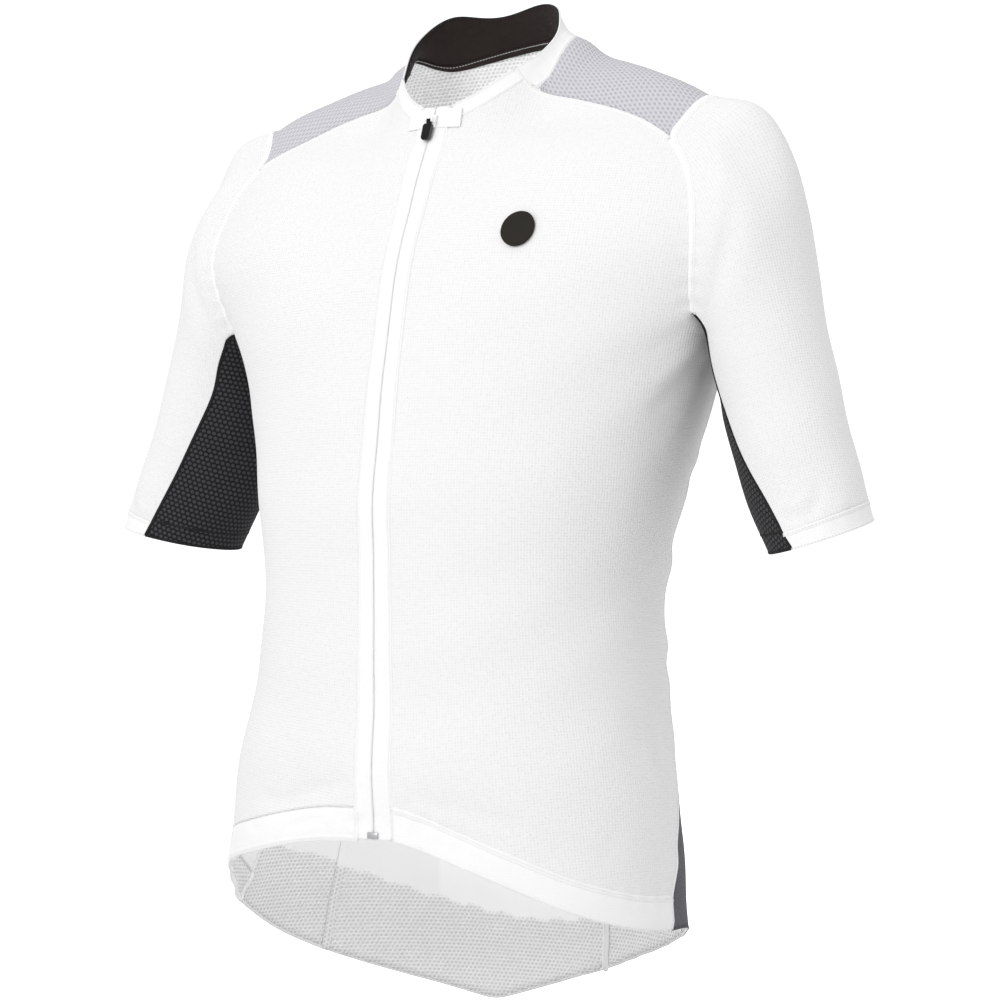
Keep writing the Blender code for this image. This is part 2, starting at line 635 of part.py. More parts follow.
class Jersey:
    """The seam lines and grids that the pieces share."""

    def __init__(self):
        self.grids = {}
        self.normals = {}
        for side in (1, -1):
            self.draw_armhole(side)
            self.draw_front(side)
            self.draw_side(side)
            self.draw_sleeve(side)
        self.draw_back()
        self.draw_collar()
        self.join_armholes()

    def draw_armhole(self, side):
        marks = (0, GUSSET_FRONT, SIDE_SEAM_FRONT, SIDE_SEAM_BACK, GUSSET_BACK, 1)
        counts = (ARM_FRONT, ARM_UNDER_FRONT, ARM_UNDER, ARM_UNDER_BACK, ARM_BACK)
        stretches = [
            seam_line(ARMHOLE, side, count, first, last)[:-1]
            for first, last, count in zip(marks[:-1], marks[1:], counts)
        ]
        self.grids["armhole", side] = np.concatenate(stretches)

    def armhole(self, side, first, last):
        """The armhole's points from one mark to another, counted from the yoke seam forwards."""
        ring = self.grids["armhole", side]
        return ring[np.arange(first, last + 1) % len(ring)]

    def draw_front(self, side):
        hem_angles = np.linspace(0, SIDE_FRONT[0].angle, 200)
        band_foot = on_torso(side * hem_angles, hem_height(side * hem_angles))
        band_top = on_torso(side * hem_angles, hem_height(side * hem_angles) + HEM_BAND)
        foot = from_zip(band_foot, YOKE_COLUMNS + 1)
        top = from_zip(band_top, YOKE_COLUMNS + 1)
        side_seam = side_line(SIDE_FRONT, side, SIDE_ROWS)
        seam_rise = np.linalg.norm(side_seam - side_seam[0], axis=-1)
        band_cell = int(np.argmin(np.abs(seam_rise - HEM_BAND)))
        top[-1] = side_seam[band_cell]
        foot[-1] = side_seam[0]
        self.grids["hem_band", side] = np.stack([foot, (foot + top) / 2, top])
        self.grids["side_front", side] = side_seam
        neck = from_zip(seam_line(NECK_EDGE, side, 60), NECK_ROWS)
        neckline = from_zip(seam_line(NECKLINE, side, 60), NECK_ROWS)
        self.grids["binding", side] = np.stack([neck, settle((neck + neckline) / 2), neckline])
        height = np.linspace(top[0][2], neck[0][2], 120)
        zip_line = self.zip_line(side * zip_half_width(height), height)
        zip_line[0], zip_line[-1] = top[0], neck[0]
        rows = SIDE_ROWS - band_cell + ARM_UNDER_FRONT + ARM_FRONT
        inner = np.concatenate([resample(zip_line, rows - NECK_ROWS)[:-1], neck])
        under = ARM_FRONT + ARM_UNDER_FRONT
        outer = np.concatenate([side_seam[band_cell:-1], self.armhole(side, 0, under)[::-1]])
        yoke = seam_line(YOKE_FRONT, side, YOKE_COLUMNS)
        self.grids["yoke", side] = yoke
        over = np.concatenate([inner[-1:], yoke])
        over[-1] = outer[-1]
        self.grids["front", side] = relax(coons(top, over, inner, outer), 40)
        beside = np.concatenate(
            [
                self.grids["hem_band", side][:, 0],
                inner[1 : rows - NECK_ROWS + 1],
                self.grids["binding", side][1:, 0],
            ]
        )
        height = beside[:, 2].copy()
        height[-3:] += (NECKLINE[0].z - height[-1]) * np.array([0, 0.5, 1])
        split = self.zip_line(side * ZIP_SPLIT, height)
        self.grids["tape", side] = np.stack([split, beside], axis=1)

    @staticmethod
    def across(height):
        """The way from the centre front to the wearer's left."""
        return unit(on_torso(0.5, height) - on_torso(0.0, height))

    def zip_line(self, offset, height):
        """A line on the figure at an even distance beside the centre front."""
        points = on_torso(0.0, height) + self.across(height) * np.reshape(offset, (-1, 1))
        return settle(points, rounds=9, level=True)

    def draw_side(self, side):
        front = self.grids["side_front", side]
        back = side_line(SIDE_BACK, side, SIDE_ROWS)
        under = ARM_FRONT + ARM_UNDER_FRONT
        top = self.armhole(side, under, under + ARM_UNDER)
        front[-1], back[-1] = top[0], top[-1]
        angles = np.linspace(SIDE_FRONT[0].angle, SIDE_BACK[0].angle, 60)
        foot = on_torso(side * angles, hem_height(side * angles))
        foot = settle(resample(foot, ARM_UNDER))
        foot[0], foot[-1] = front[0], back[0]
        self.grids["side", side] = relax(coons(foot, top, front, back), 30)
        self.grids["side_back", side] = back

    def draw_back(self):
        edges = {}
        for side in (1, -1):
            ring = len(self.grids["armhole", side])
            start = ARM_FRONT + ARM_UNDER_FRONT + ARM_UNDER
            arm = self.armhole(side, start, ring)
            edges[side] = np.concatenate([self.grids["side_back", side][:-1], arm])
        angle = np.linspace(COLLAR_BASE_FRONT, 360 - COLLAR_BASE_FRONT, 240)
        base = on_neck(angle, edge_height(COLLAR_BASE, angle))
        yoke = {side: self.grids["yoke", side] for side in (1, -1)}
        base[0], base[-1] = yoke[1][0], yoke[-1][0]
        base = settle(resample(settle(base), COLLAR_COLUMNS))
        base[0], base[-1] = yoke[1][0], yoke[-1][0]
        self.grids["collar_base"] = base
        over = np.concatenate([yoke[1][::-1][:-1], base, yoke[-1][1:]])
        over[0], over[-1] = edges[1][-1], edges[-1][-1]
        angle = SIDE_BACK[0].angle
        angles = np.linspace(angle, 360 - angle, 300)
        foot = on_torso(angles, hem_height(angles))
        foot = settle(resample(foot, len(over) - 1))
        foot[0], foot[-1] = edges[1][0], edges[-1][0]
        self.grids["back"] = relax(coons(foot, over, edges[1], edges[-1]), 120)

    def draw_collar(self):
        angle = np.linspace(COLLAR_TOP_FRONT, 360 - COLLAR_TOP_FRONT, 240)
        top = on_neck(angle, edge_height(COLLAR_TOP, angle))
        ends = {side: self.grids["binding", side][:, -1] for side in (1, -1)}
        top[0], top[-1] = ends[1][-1], ends[-1][-1]
        top = settle(resample(settle(top), COLLAR_COLUMNS))
        up = np.array(COLLAR_ROWS)[:, None, None]
        collar = settle((1 - up) * self.grids["collar_base"][None] + up * top[None])
        collar[0] = self.grids["collar_base"]
        collar[1:, 0], collar[1:, -1] = ends[1], ends[-1]
        self.grids["collar"] = collar

    def draw_sleeve(self, side):
        ring = self.grids["armhole", side] * (side, 1, 1)
        count = len(ring)
        rows = np.append(np.linspace(0, 1 - CUFF_BAND, SLEEVE_ROWS), 1)
        rings = spread(SLEEVE, rows)
        top, under = rings[:, :2], rings[:, 2:4]
        middle, half = (top + under) / 2, (top - under) / 2
        flat = ring[:, [0, 2]] - middle[0]
        up = (flat @ half[0]) / (half[0] @ half[0])
        ahead = (rings[0, 4] - ring[:, 1]) / rings[0, 5]
        angle = np.degrees(np.unwrap(np.arctan2(ahead, up)))
        angle -= 360 * np.round((angle[0] - 60) / 360)
        late = CUFF_TURN_LEFT if side > 0 else CUFF_TURN_RIGHT
        lean = CUFF_LEAN_LEFT if side > 0 else CUFF_LEAN_RIGHT
        gusset_front = ARM_FRONT
        gusset_back = ARM_FRONT + ARM_UNDER_FRONT + ARM_UNDER + ARM_UNDER_BACK
        marks = [gusset_back - count, gusset_front, gusset_back, gusset_front + count]
        places = [CUFF_GUSSET_BACK - 360, CUFF_GUSSET_FRONT, CUFF_GUSSET_BACK]
        places.append(CUFF_GUSSET_FRONT + 360)
        at_cuff = np.interp(np.arange(count), marks, places)
        steps = []
        first = None
        for along, ring_row in zip(rows, rings):
            top_x, top_z, under_x, under_z, centre_y, half_depth, skew = ring_row
            turn = np.radians(angle + (at_cuff - angle) * along**late)
            ahead = np.sin(turn) * half_depth
            x = (top_x + under_x) / 2 + np.cos(turn) * (top_x - under_x) / 2 + skew * ahead
            z = (top_z + under_z) / 2 + np.cos(turn) * (top_z - under_z) / 2
            z = z - lean * along**3 * ahead
            points = np.stack([x, centre_y - ahead, z], axis=-1)
            first = ring - points if first is None else first
            fade = np.clip(1 - along / 0.55, 0, 1)
            steps.append(points + first * (fade * fade * (3 - 2 * fade)))
        tube = np.stack(steps) * (side, 1, 1)
        self.grids["sleeve", side] = tube
        self.normals["sleeve", side] = tube_normals(tube) * side

    def join_armholes(self):
        """Gives the pieces that meet at an armhole one shared direction for their edges."""
        for side in (1, -1):
            ring = self.grids["armhole", side]
            body = unit(steepest(ring))
            sleeve = self.normals["sleeve", side]
            shared = unit(body + sleeve[0])
            self.normals["armhole", side] = shared
            sleeve[0] = shared

    def torso_normals(self, grid):
        """Normals of the figure, or of the armhole where a point lies on one."""
        found = unit(steepest(grid))
        for side in (1, -1):
            ring = self.grids["armhole", side]
            away = np.linalg.norm(grid[:, :, None] - ring[None, None], axis=-1)
            nearest = away.argmin(axis=-1)
            close = away.min(axis=-1) < 1e-6
            found[close] = self.normals["armhole", side][nearest[close]]
        return found


class Workshop:
    """Cuts the pieces out of the jersey's grids and lays on what lies on them."""

    def __init__(self, collection):
        self.collection = collection
        self.jersey = Jersey()
        self.white = cloth_material("white_knit", (0.88, 0.88, 0.88), 0.75)
        self.trim = cloth_material("white_trim", (0.93, 0.93, 0.93), 0.6)
        self.mesh = cloth_material("grey_mesh", (0.62, 0.61, 0.66), 0.8)
        self.black = cloth_material("black_mesh", (0.03, 0.03, 0.035), 0.7)
        self.grey = cloth_material("side_knit", (0.15, 0.145, 0.16), 0.75)
        self.lining = cloth_material("collar_lining", (0.014, 0.011, 0.011), 0.85)
        self.patch = cloth_material("badge_print", (0.02, 0.018, 0.014), 0.5)
        self.metal = cloth_material("zip_metal", (0.5, 0.5, 0.5), 0.35, 1.0)
        self.rubber = cloth_material("pull_rubber", (0.012, 0.012, 0.013), 0.5)

    def cut(self, name, grid, thickness, sides, material, lift=0.0):
        """A piece of the torso or the neck."""
        normals = self.jersey.torso_normals(grid)
        grid = folded(grid, normals)
        return panel(name, grid, normals, thickness, sides, material, self.collection, lift)

    def cut_body(self, side, word):
        grids = self.jersey.grids
        every = ("bottom", "top", "start", "end")
        seamed = ("top", "start", "end")
        tape_edge = "end" if side > 0 else "start"
        front = self.cut(
            f"front_{word}", grids["front", side][:, ::side], SHELL, every, self.white
        )
        self.cut(f"hem_band_{word}", grids["hem_band", side][:, ::side], TRIM, seamed, self.trim)
        self.cut(f"side_panel_{word}", grids["side", side][:, ::side], SHELL, seamed, self.grey)
        tape = self.cut(
            f"zip_tape_{word}", grids["tape", side][:, ::side], TRIM, (tape_edge,), self.trim
        )
        binding = self.cut(
            f"neck_binding_{word}",
            grids["binding", side][:, ::side],
            TRIM,
            ("bottom", "start", "end"),
            self.trim,
        )
        self.lay_guard(side, word, (front, tape, binding))
        return front

    def lay_guard(self, side, word, pieces):
        x, z = np.meshgrid(
            np.linspace(GUARD_INNER, GUARD_OUTER, 9) * side,
            np.linspace(GUARD_FOOT, GUARD_TOP, 7),
        )
        guess = np.stack([x, np.full(x.shape, GUARD_GUESS), z], axis=-1)
        points = laid_on(settle(guess, rounds=9, level=True), pieces)
        normals = unit(steepest(points))
        lift = GUARD_GAP + PATCH_CLOTH
        panel(
            f"zip_guard_{word}",
            points[:, ::side],
            normals[:, ::side],
            PATCH_CLOTH,
            (),
            self.trim,
            self.collection,
            lift,
        )

    def cut_sleeve(self, side, word):
        tube = self.jersey.grids["sleeve", side]
        shared = self.jersey.normals["sleeve", side]
        tube = folded(tube, shared)
        gusset_back = ARM_FRONT + ARM_UNDER_FRONT + ARM_UNDER + ARM_UNDER_BACK
        count = tube.shape[1]
        upper = np.arange(gusset_back - count, ARM_FRONT + 1) % count
        lower = np.arange(ARM_FRONT, gusset_back + 1)
        every = ("bottom", "top", "start", "end")
        free_cuff = ("bottom", "start", "end")
        for name, rows, columns, thickness, sides, material in (
            ("sleeve", slice(0, SLEEVE_ROWS), upper, SHELL, every, self.white),
            ("cuff_band", slice(SLEEVE_ROWS - 1, None), upper, TRIM, free_cuff, self.trim),
            ("gusset", slice(None), lower, MESH_CLOTH, free_cuff, self.black),
        ):
            grid = tube[rows][:, columns][:, ::side]
            normals = shared[rows][:, columns][:, ::side]
            panel(
                f"{name}_{word}", grid, normals, thickness, sides, material, self.collection
            )

    def cut_back(self):
        grid = self.jersey.grids["back"]
        seamed = ("top", "start", "end")
        self.cut("back_panel", grid, MESH_CLOTH, seamed, self.mesh)
        middle = (grid.shape[1] - 1) // 2
        for name, first, last, sides in (
            ("left", middle - POCKET_SIDE, middle - POCKET_DIVIDE, ("end",)),
            ("centre", middle - POCKET_DIVIDE, middle + POCKET_DIVIDE, ("start", "end")),
            ("right", middle + POCKET_DIVIDE, middle + POCKET_SIDE, ("start",)),
        ):
            part = grid[POCKET_FOOT : POCKET_MOUTH + 1, first : last + 1]
            across = np.linspace(-1, 1, part.shape[1])[None, :, None]
            up = np.linspace(0, 1, part.shape[0])[:, None, None]
            slack = POCKET_SLACK * (1 - across**2) * up**2
            lift = LAID_GAP + PATCH_CLOTH + slack
            self.cut(f"pocket_{name}", part, PATCH_CLOTH, sides, self.white, lift)

    def cut_collar(self):
        grid = self.jersey.grids["collar"]
        seamed = ("bottom", "start", "end")
        self.cut("collar", grid, TRIM, seamed, self.trim)
        self.cut("collar_lining", grid, TRIM, seamed, self.lining, -TRIM - LAID_GAP)

    def lay_badge(self, front):
        centre = settle(np.array(BADGE_PLACE))
        out = unit(steepest(centre))
        across = unit(np.cross((0, 0, 1), out))
        up = np.cross(out, across)
        x, z = disc(BADGE_CELLS)
        points = centre + BADGE_RADIUS * (x[..., None] * across + z[..., None] * up)
        points = laid_on(settle(points), (front,))
        lift = LAID_GAP + PATCH_CLOTH
        normals = unit(steepest(points))
        panel("badge", points, normals, PATCH_CLOTH, (), self.patch, self.collection, lift)

    def place_zip_parts(self):
        height = np.array([SLIDER_HEIGHT - SLIDER_HALF_LENGTH, SLIDER_HEIGHT + SLIDER_HALF_LENGTH])
        foot, top = self.jersey.zip_line(0.0, height)
        run = unit(top - foot)
        lean = math.atan2(run[1], run[2])
        out = np.array([0, -math.cos(lean), math.sin(lean)])
        reach = SLIDER_STANDOFF + SLIDER_DEPTH + LUG_SIZE / 2
        pin = (foot + top) / 2 + out * reach
        pin[0] = 0
        for name, bm, material in (
            ("zip_slider", slider_body(), self.metal),
            ("pull_tab", pull_tab(), self.rubber),
        ):
            bm.transform(Matrix.Rotation(-lean, 4, "X"))
            piece = finish(name, bm, material, self.collection)
            piece.location = pin
        hem = float(hem_height(0.0))
        offsets = np.linspace(-STOP_HALF_WIDTH, STOP_HALF_WIDTH, 3)
        heights = hem + np.array([STOP_FOOT, STOP_TOP])
        grid = np.stack([self.jersey.zip_line(offset, heights) for offset in offsets], axis=1)
        self.cut("zip_stop", grid, STOP_DEPTH, (), self.metal, LAID_GAP + STOP_DEPTH)


def build():
    for old in list(bpy.data.objects):
        bpy.data.objects.remove(old, do_unlink=True)
    collection = bpy.data.collections.new("cycling_jersey")
    bpy.context.scene.collection.children.link(collection)
    workshop = Workshop(collection)
    fronts = {}
    for side, word in ((1, "left"), (-1, "right")):
        fronts[word] = workshop.cut_body(side, word)
        workshop.cut_sleeve(side, word)
    workshop.cut_back()
    workshop.cut_collar()
    workshop.lay_badge(fronts["left"])
    workshop.place_zip_parts()


build()
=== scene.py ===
import math

import bmesh
import bpy
import numpy as np
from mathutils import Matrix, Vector
from mathutils.bvhtree import BVHTree
from mathutils.kdtree import KDTree


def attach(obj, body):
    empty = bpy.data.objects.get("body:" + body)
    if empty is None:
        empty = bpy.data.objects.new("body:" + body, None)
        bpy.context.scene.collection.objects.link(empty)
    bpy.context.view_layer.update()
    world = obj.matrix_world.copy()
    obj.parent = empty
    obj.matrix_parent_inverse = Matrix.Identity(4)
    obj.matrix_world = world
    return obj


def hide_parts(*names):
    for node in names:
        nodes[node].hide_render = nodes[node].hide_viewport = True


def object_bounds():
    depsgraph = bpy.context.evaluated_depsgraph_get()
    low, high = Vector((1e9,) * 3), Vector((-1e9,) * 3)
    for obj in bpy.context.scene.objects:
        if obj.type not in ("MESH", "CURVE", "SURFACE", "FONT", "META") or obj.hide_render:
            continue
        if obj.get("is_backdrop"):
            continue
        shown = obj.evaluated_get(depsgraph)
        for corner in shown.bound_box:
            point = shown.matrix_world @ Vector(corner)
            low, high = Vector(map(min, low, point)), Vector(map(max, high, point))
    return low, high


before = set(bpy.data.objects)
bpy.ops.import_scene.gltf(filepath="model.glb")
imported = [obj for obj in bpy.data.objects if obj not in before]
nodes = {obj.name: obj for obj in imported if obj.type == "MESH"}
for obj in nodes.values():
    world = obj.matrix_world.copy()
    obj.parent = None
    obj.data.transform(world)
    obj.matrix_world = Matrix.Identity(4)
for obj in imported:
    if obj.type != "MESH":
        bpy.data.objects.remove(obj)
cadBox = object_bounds()
sides = ((1, "left"), (-1, "right"))
print("frame loaded:", len(nodes), "nodes")

# small helpers for meshes

mergeGap = 0.00001
rimSlack = 0.00003  # how nearly a rim edge is as long as the wall is thick
leastCorner = 48  # degrees that an outline turns at a corner
cornerReach = 0.03  # how near a seam's end has to be to a corner to start from it
lineStep = 0.001  # how finely distances to a line are taken
shiftShare = 0.6  # a probe that gets less far than this went off the cloth
skinJoin = {"angle_face_threshold": 0.9, "angle_shape_threshold": 1.4, "topology_influence": 1.2}


def mergedCopy(nodeName):
    bm = bmesh.new()
    bm.from_mesh(nodes[nodeName].data)
    bmesh.ops.remove_doubles(bm, verts=bm.verts[:], dist=mergeGap)
    return bm


def spineOf(kind, side=1):  # the line that a cloth piece goes round
    spines = {
        "torso": ((0, 0.03, -0.75), (0, 0.03, -0.06)),
        "arm": ((0.215 * side, 0.026, -0.10), (0.283 * side, 0.020, -0.33)),
        "neck": ((0, 0.03, -0.04), (0, 0.03, 0.08)),
    }
    return [Vector(point) for point in spines[kind]]


def distanceToSpine(point, spine):
    run = spine[1] - spine[0]
    share = max(0, min(1, (point - spine[0]).dot(run) / run.dot(run)))
    return (point - spine[0] - run * share).length


def keepOuterSkin(bm, wall, spine):
    # rim faces hold an edge as long as the wall is thick
    rim = [face for face in bm.faces if any(abs(edge.calc_length() - wall) < rimSlack for edge in face.edges)]
    bmesh.ops.delete(bm, geom=rim, context="FACES")
    left, skins = set(bm.faces), []
    while left:
        skin = [left.pop()]
        for face in skin:
            for edge in face.edges:
                for other in edge.link_faces:
                    if other in left:
                        left.discard(other)
                        skin.append(other)
        skins.append(skin)
    skins = sorted(skins, key=len)[-2:]
    reach = []
    for skin in skins:
        areas = [face.calc_area() for face in skin]
        away = [distanceToSpine(face.calc_center_median(), spine) for face in skin]
        reach.append(sum(far * area for far, area in zip(away, areas)) / sum(areas))
    outer = set(skins[0] if reach[0] > reach[1] else skins[1])
    bmesh.ops.delete(bm, geom=[face for face in bm.faces if face not in outer], context="FACES")
    bmesh.ops.join_triangles(bm, faces=bm.faces[:], **skinJoin)


def newPiece(name, bm, material):
    mesh = bpy.data.meshes.new(name)
    bm.to_mesh(mesh)
    bm.free()
    mesh.shade_smooth()
    piece = bpy.data.objects.new(name, mesh)
    bpy.context.scene.collection.objects.link(piece)
    mesh.materials.append(material)
    return piece


def flattenToMetres(piece, up):  # the piece's own UV map, in metres, V along "up"
    bpy.ops.object.select_all(action="DESELECT")
    bpy.context.view_layer.objects.active = piece
    piece.select_set(True)
    bpy.ops.object.mode_set(mode="EDIT")
    bpy.ops.mesh.select_all(action="SELECT")
    bpy.ops.uv.unwrap(method="ANGLE_BASED", margin=0)
    bpy.ops.object.mode_set(mode="OBJECT")
    mesh = piece.data
    uv = np.zeros(len(mesh.loops) * 2)
    mesh.uv_layers[0].uv.foreach_get("vector", uv)
    uv = uv.reshape(-1, 2)
    corners = np.array([loop.vertex_index for loop in mesh.loops])
    flat = 0.0
    for face in mesh.polygons:
        ring = uv[list(face.loop_indices)]
        nextOne = np.roll(ring, -1, axis=0)
        flat += abs(np.sum(ring[:, 0] * nextOne[:, 1] - ring[:, 1] * nextOne[:, 0])) / 2
    area = sum(face.area for face in mesh.polygons)
    uv = (uv - uv.mean(axis=0)) * math.sqrt(area / flat)
    rise = readPoints(mesh)[corners] @ np.array(up, dtype=float)
    slope = np.linalg.lstsq(np.c_[uv, np.ones(len(uv))], rise, rcond=None)[0][:2]
    turn = math.atan2(slope[0], slope[1])
    spin = np.array([[math.cos(turn), math.sin(turn)], [-math.sin(turn), math.cos(turn)]])
    uv = uv @ spin  # so that V points up
    mesh.uv_layers[0].uv.foreach_set("vector", uv.reshape(-1))
    mesh.uv_layers[0].name = "clothMap"
    return area, uv.max(axis=0) - uv.min(axis=0)


def smoothed(piece, levels):  # subdivides and applies
    surface = piece.modifiers.new("rounding", "SUBSURF")
    surface.levels = surface.render_levels = levels
    surface.boundary_smooth = "PRESERVE_CORNERS"
    surface.uv_smooth = "PRESERVE_BOUNDARIES"
    graph = bpy.context.evaluated_depsgraph_get()
    mesh = bpy.data.meshes.new_from_object(piece.evaluated_get(graph))
    piece.modifiers.clear()
    piece.data = mesh


def readPoints(mesh):
    places = np.zeros(len(mesh.vertices) * 3)
    mesh.vertices.foreach_get("co", places)
    return places.reshape(-1, 3)


def readNormals(mesh):
    normals = np.zeros(len(mesh.vertices) * 3)
    mesh.vertex_normals.foreach_get("vector", normals)
    return normals.reshape(-1, 3)


def borderLoop(mesh):
    bm = bmesh.new()
    bm.from_mesh(mesh)
    bm.verts.ensure_lookup_table()
    start = next(vertex for vertex in bm.verts if vertex.is_boundary)
    ring, before = [start.index], None
    while True:
        here = bm.verts[ring[-1]]
        ways = [edge.other_vert(here).index for edge in here.link_edges if edge.is_boundary]
        ahead = ways[0] if ways[0] != before else ways[1]
        if ahead == ring[0]:
            break
        before = here.index
        ring.append(ahead)
    bm.free()
    return ring


def turningPoints(mesh):  # corners of the cut, where its outline turns
    ring = borderLoop(mesh)
    points = readPoints(mesh)[ring]
    ahead = np.roll(points, -1, axis=0) - points
    behind = points - np.roll(points, 1, axis=0)
    cosine = np.sum(unit(ahead) * unit(behind), axis=1)
    return points[np.degrees(np.arccos(np.clip(cosine, -1, 1))) > leastCorner]


# cloth pieces, copied from the frame's walls

cloth = {}


def clothPiece(nodeName, material, settings, side=1):
    bm = mergedCopy(nodeName)
    spine = spineOf(settings["round"], side)
    keepOuterSkin(bm, settings["wall"], spine)
    piece = newPiece(nodeName + "_cloth", bm, material)
    up = (spine[0] - spine[1]) if settings["round"] == "arm" else Vector((0, 0, 1))
    area, size = flattenToMetres(piece, up.normalized())
    corners = turningPoints(piece.data)
    smoothed(piece, settings["levels"])
    cloth[nodeName] = {
        "piece": piece,
        "corners": corners,
        "area": area,
        "size": size,
        "settings": settings,
    }
    triangles = len(piece.data.polygons) * 4
    print(f"{nodeName}: area {area:.4f} box {size[0]:.3f} x {size[1]:.3f}, about {triangles} triangles")


def borderBetween(nodeName, start, via, end):
    # points and normals along a cloth piece's outline, from one place past another to a third
    entry = cloth[nodeName]
    mesh = entry["piece"].data
    ring = np.array(borderLoop(mesh))
    points, normals = readPoints(mesh)[ring], readNormals(mesh)[ring]
    count = len(ring)

    def nearest(place, snap):
        place = np.array(place, dtype=float)
        if snap and len(entry["corners"]):
            gaps = np.linalg.norm(entry["corners"] - place, axis=1)
            if gaps.min() < cornerReach:
                place = entry["corners"][int(gaps.argmin())]
        return int(np.argmin(np.linalg.norm(points - place, axis=1)))

    first, middle, last = nearest(start, True), nearest(via, False), nearest(end, True)
    forwards = (middle - first) % count <= (last - first) % count
    steps = (last - first) % count if forwards else (first - last) % count
    path = (first + np.arange(steps + 1) * (1 if forwards else -1)) % count
    return points[path], normals[path]


def clothTree(nodeName):
    mesh = cloth[nodeName]["piece"].data
    return BVHTree.FromPolygons([v.co for v in mesh.vertices], [tuple(f.vertices) for f in mesh.polygons])


def ontoCloth(tree, spots):  # nearest places on the cloth and their normals
    found = [tree.find_nearest(spot)[:2] for spot in spots]
    return np.array([place for place, normal in found]), np.array([normal for place, normal in found])


def shiftedInto(nodeName, line, normals, distance):
    # the same line, moved over the cloth towards the middle of the piece
    tree = clothTree(nodeName)
    run = unit(np.gradient(line, axis=0))
    across = unit(np.cross(run, normals))
    middle = len(line) // 2
    probe = tree.find_nearest(line[middle] + across[middle] * distance)[0]
    if (Vector(line[middle]) - probe).length < distance * shiftShare:
        across = -across
    return ontoCloth(tree, line + across * distance)


def evenly(points, step):
    length = np.concatenate([[0], np.cumsum(np.linalg.norm(np.diff(points, axis=0), axis=1))])
    count = max(int(round(length[-1] / step)), 2)
    at = np.linspace(0, length[-1], count + 1)
    return at, length


def resampled(values, at, length):
    return np.stack([np.interp(at, length, values[:, axis]) for axis in range(values.shape[1])], axis=1)


def unit(vectors):
    return vectors / np.maximum(np.linalg.norm(vectors, axis=-1, keepdims=True), 1e-12)


def nearLine(points, line):  # distance to a line and how far along it, for each point
    at, length = evenly(line, lineStep)
    dense = resampled(line, at, length)
    tree = KDTree(len(dense))
    for place, spot in enumerate(dense):
        tree.insert(spot, place)
    tree.balance()
    found = [tree.find(point)[1:] for point in points]
    along = at[[item[0] for item in found]]
    return np.array([item[1] for item in found]), along


stripFacets = 12  # round the section of a seam strip
stripMerge = 0.000005
stripStep = 0.003


def seamStrip(name, line, normals, material, settings):
    # a flattened tube that straddles the cloth along a seam
    at, length = evenly(line, settings.get("step", stripStep))
    spots = resampled(line, at, length)
    out = unit(resampled(normals, at, length))
    run = unit(np.gradient(spots, axis=0))
    across = unit(np.cross(run, out))
    out = np.cross(across, run)
    turn = np.linspace(0, 2 * math.pi, stripFacets + 1)
    sideways = np.cos(turn) * settings["width"] / 2
    lift = np.sin(turn) * np.where(np.sin(turn) > 0, settings["above"], settings["below"])
    bm = bmesh.new()
    bmesh.ops.create_grid(bm, x_segments=len(at) - 1, y_segments=stripFacets, size=1)
    uvLayer = bm.loops.layers.uv.new("clothMap")
    where = {}
    for vertex in bm.verts:
        i = round((vertex.co.x + 1) / 2 * (len(at) - 1))
        j = round((vertex.co.y + 1) / 2 * stripFacets)
        where[vertex] = (at[i], sideways[j])
        vertex.co = spots[i] + across[i] * sideways[j] + out[i] * (lift[j] + settings.get("shift", 0))
    for face in bm.faces:
        for loop in face.loops:
            loop[uvLayer].uv = where[loop.vert]
    bmesh.ops.remove_doubles(bm, verts=bm.verts[:], dist=stripMerge)
    bmesh.ops.holes_fill(bm, edges=[edge for edge in bm.edges if edge.is_boundary], sides=0)
    bmesh.ops.recalc_face_normals(bm, faces=bm.faces[:])
    return newPiece(name, bm, material)


def stitchRow(name, line, normals, material, settings):
    # single thread stitches lying on the cloth
    at, length = evenly(line, settings["pitch"])
    spots = resampled(line, at, length)
    out = unit(resampled(normals, at, length))
    run = unit(np.gradient(spots, axis=0))
    bm = bmesh.new()
    for spot, up, ahead in zip(spots, out, run):
        made = bmesh.ops.create_uvsphere(bm, u_segments=6, v_segments=4, radius=1)["verts"]
        beside = np.cross(ahead, up)
        for vertex in made:
            x, y, z = vertex.co
            vertex.co = (
                spot
                + ahead * z * settings["length"] / 2
                + beside * x * settings["thread"] / 2
                + up * (y * settings["thread"] / 2 + settings["lift"])
            )
    bmesh.ops.recalc_face_normals(bm, faces=bm.faces[:])
    return newPiece(name, bm, material)


# shader groups


def calc(tree, operation, first, second=None, third=None, clamp=False):
    node = tree.nodes.new("ShaderNodeMath")
    node.operation = operation
    node.use_clamp = clamp
    for place, value in enumerate((first, second, third)):
        if value is None:
            continue
        if isinstance(value, (int, float)):
            node.inputs[place].default_value = value
        else:
            tree.links.new(value, node.inputs[place])
    return node.outputs[0]


def smoothStep(tree, value, low, high, fromOne=False):
    node = tree.nodes.new("ShaderNodeMapRange")
    node.interpolation_type = "SMOOTHSTEP"
    tree.links.new(value, node.inputs["Value"])
    node.inputs["From Min"].default_value = low
    node.inputs["From Max"].default_value = high
    node.inputs["To Min"].default_value = 1.0 if fromOne else 0.0
    node.inputs["To Max"].default_value = 0.0 if fromOne else 1.0
    return node.outputs["Result"]


def repeated(tree, value, pitch, shift=0.0):  # place within one repeat, from its middle
    cell = calc(tree, "FRACT", calc(tree, "ADD", calc(tree, "DIVIDE", value, pitch), shift))
    return calc(tree, "MULTIPLY", calc(tree, "SUBTRACT", cell, 0.5), pitch)


def lengthOf(tree, x, y):
    squares = calc(tree, "ADD", calc(tree, "MULTIPLY", x, x), calc(tree, "MULTIPLY", y, y))
    return calc(tree, "SQRT", squares)


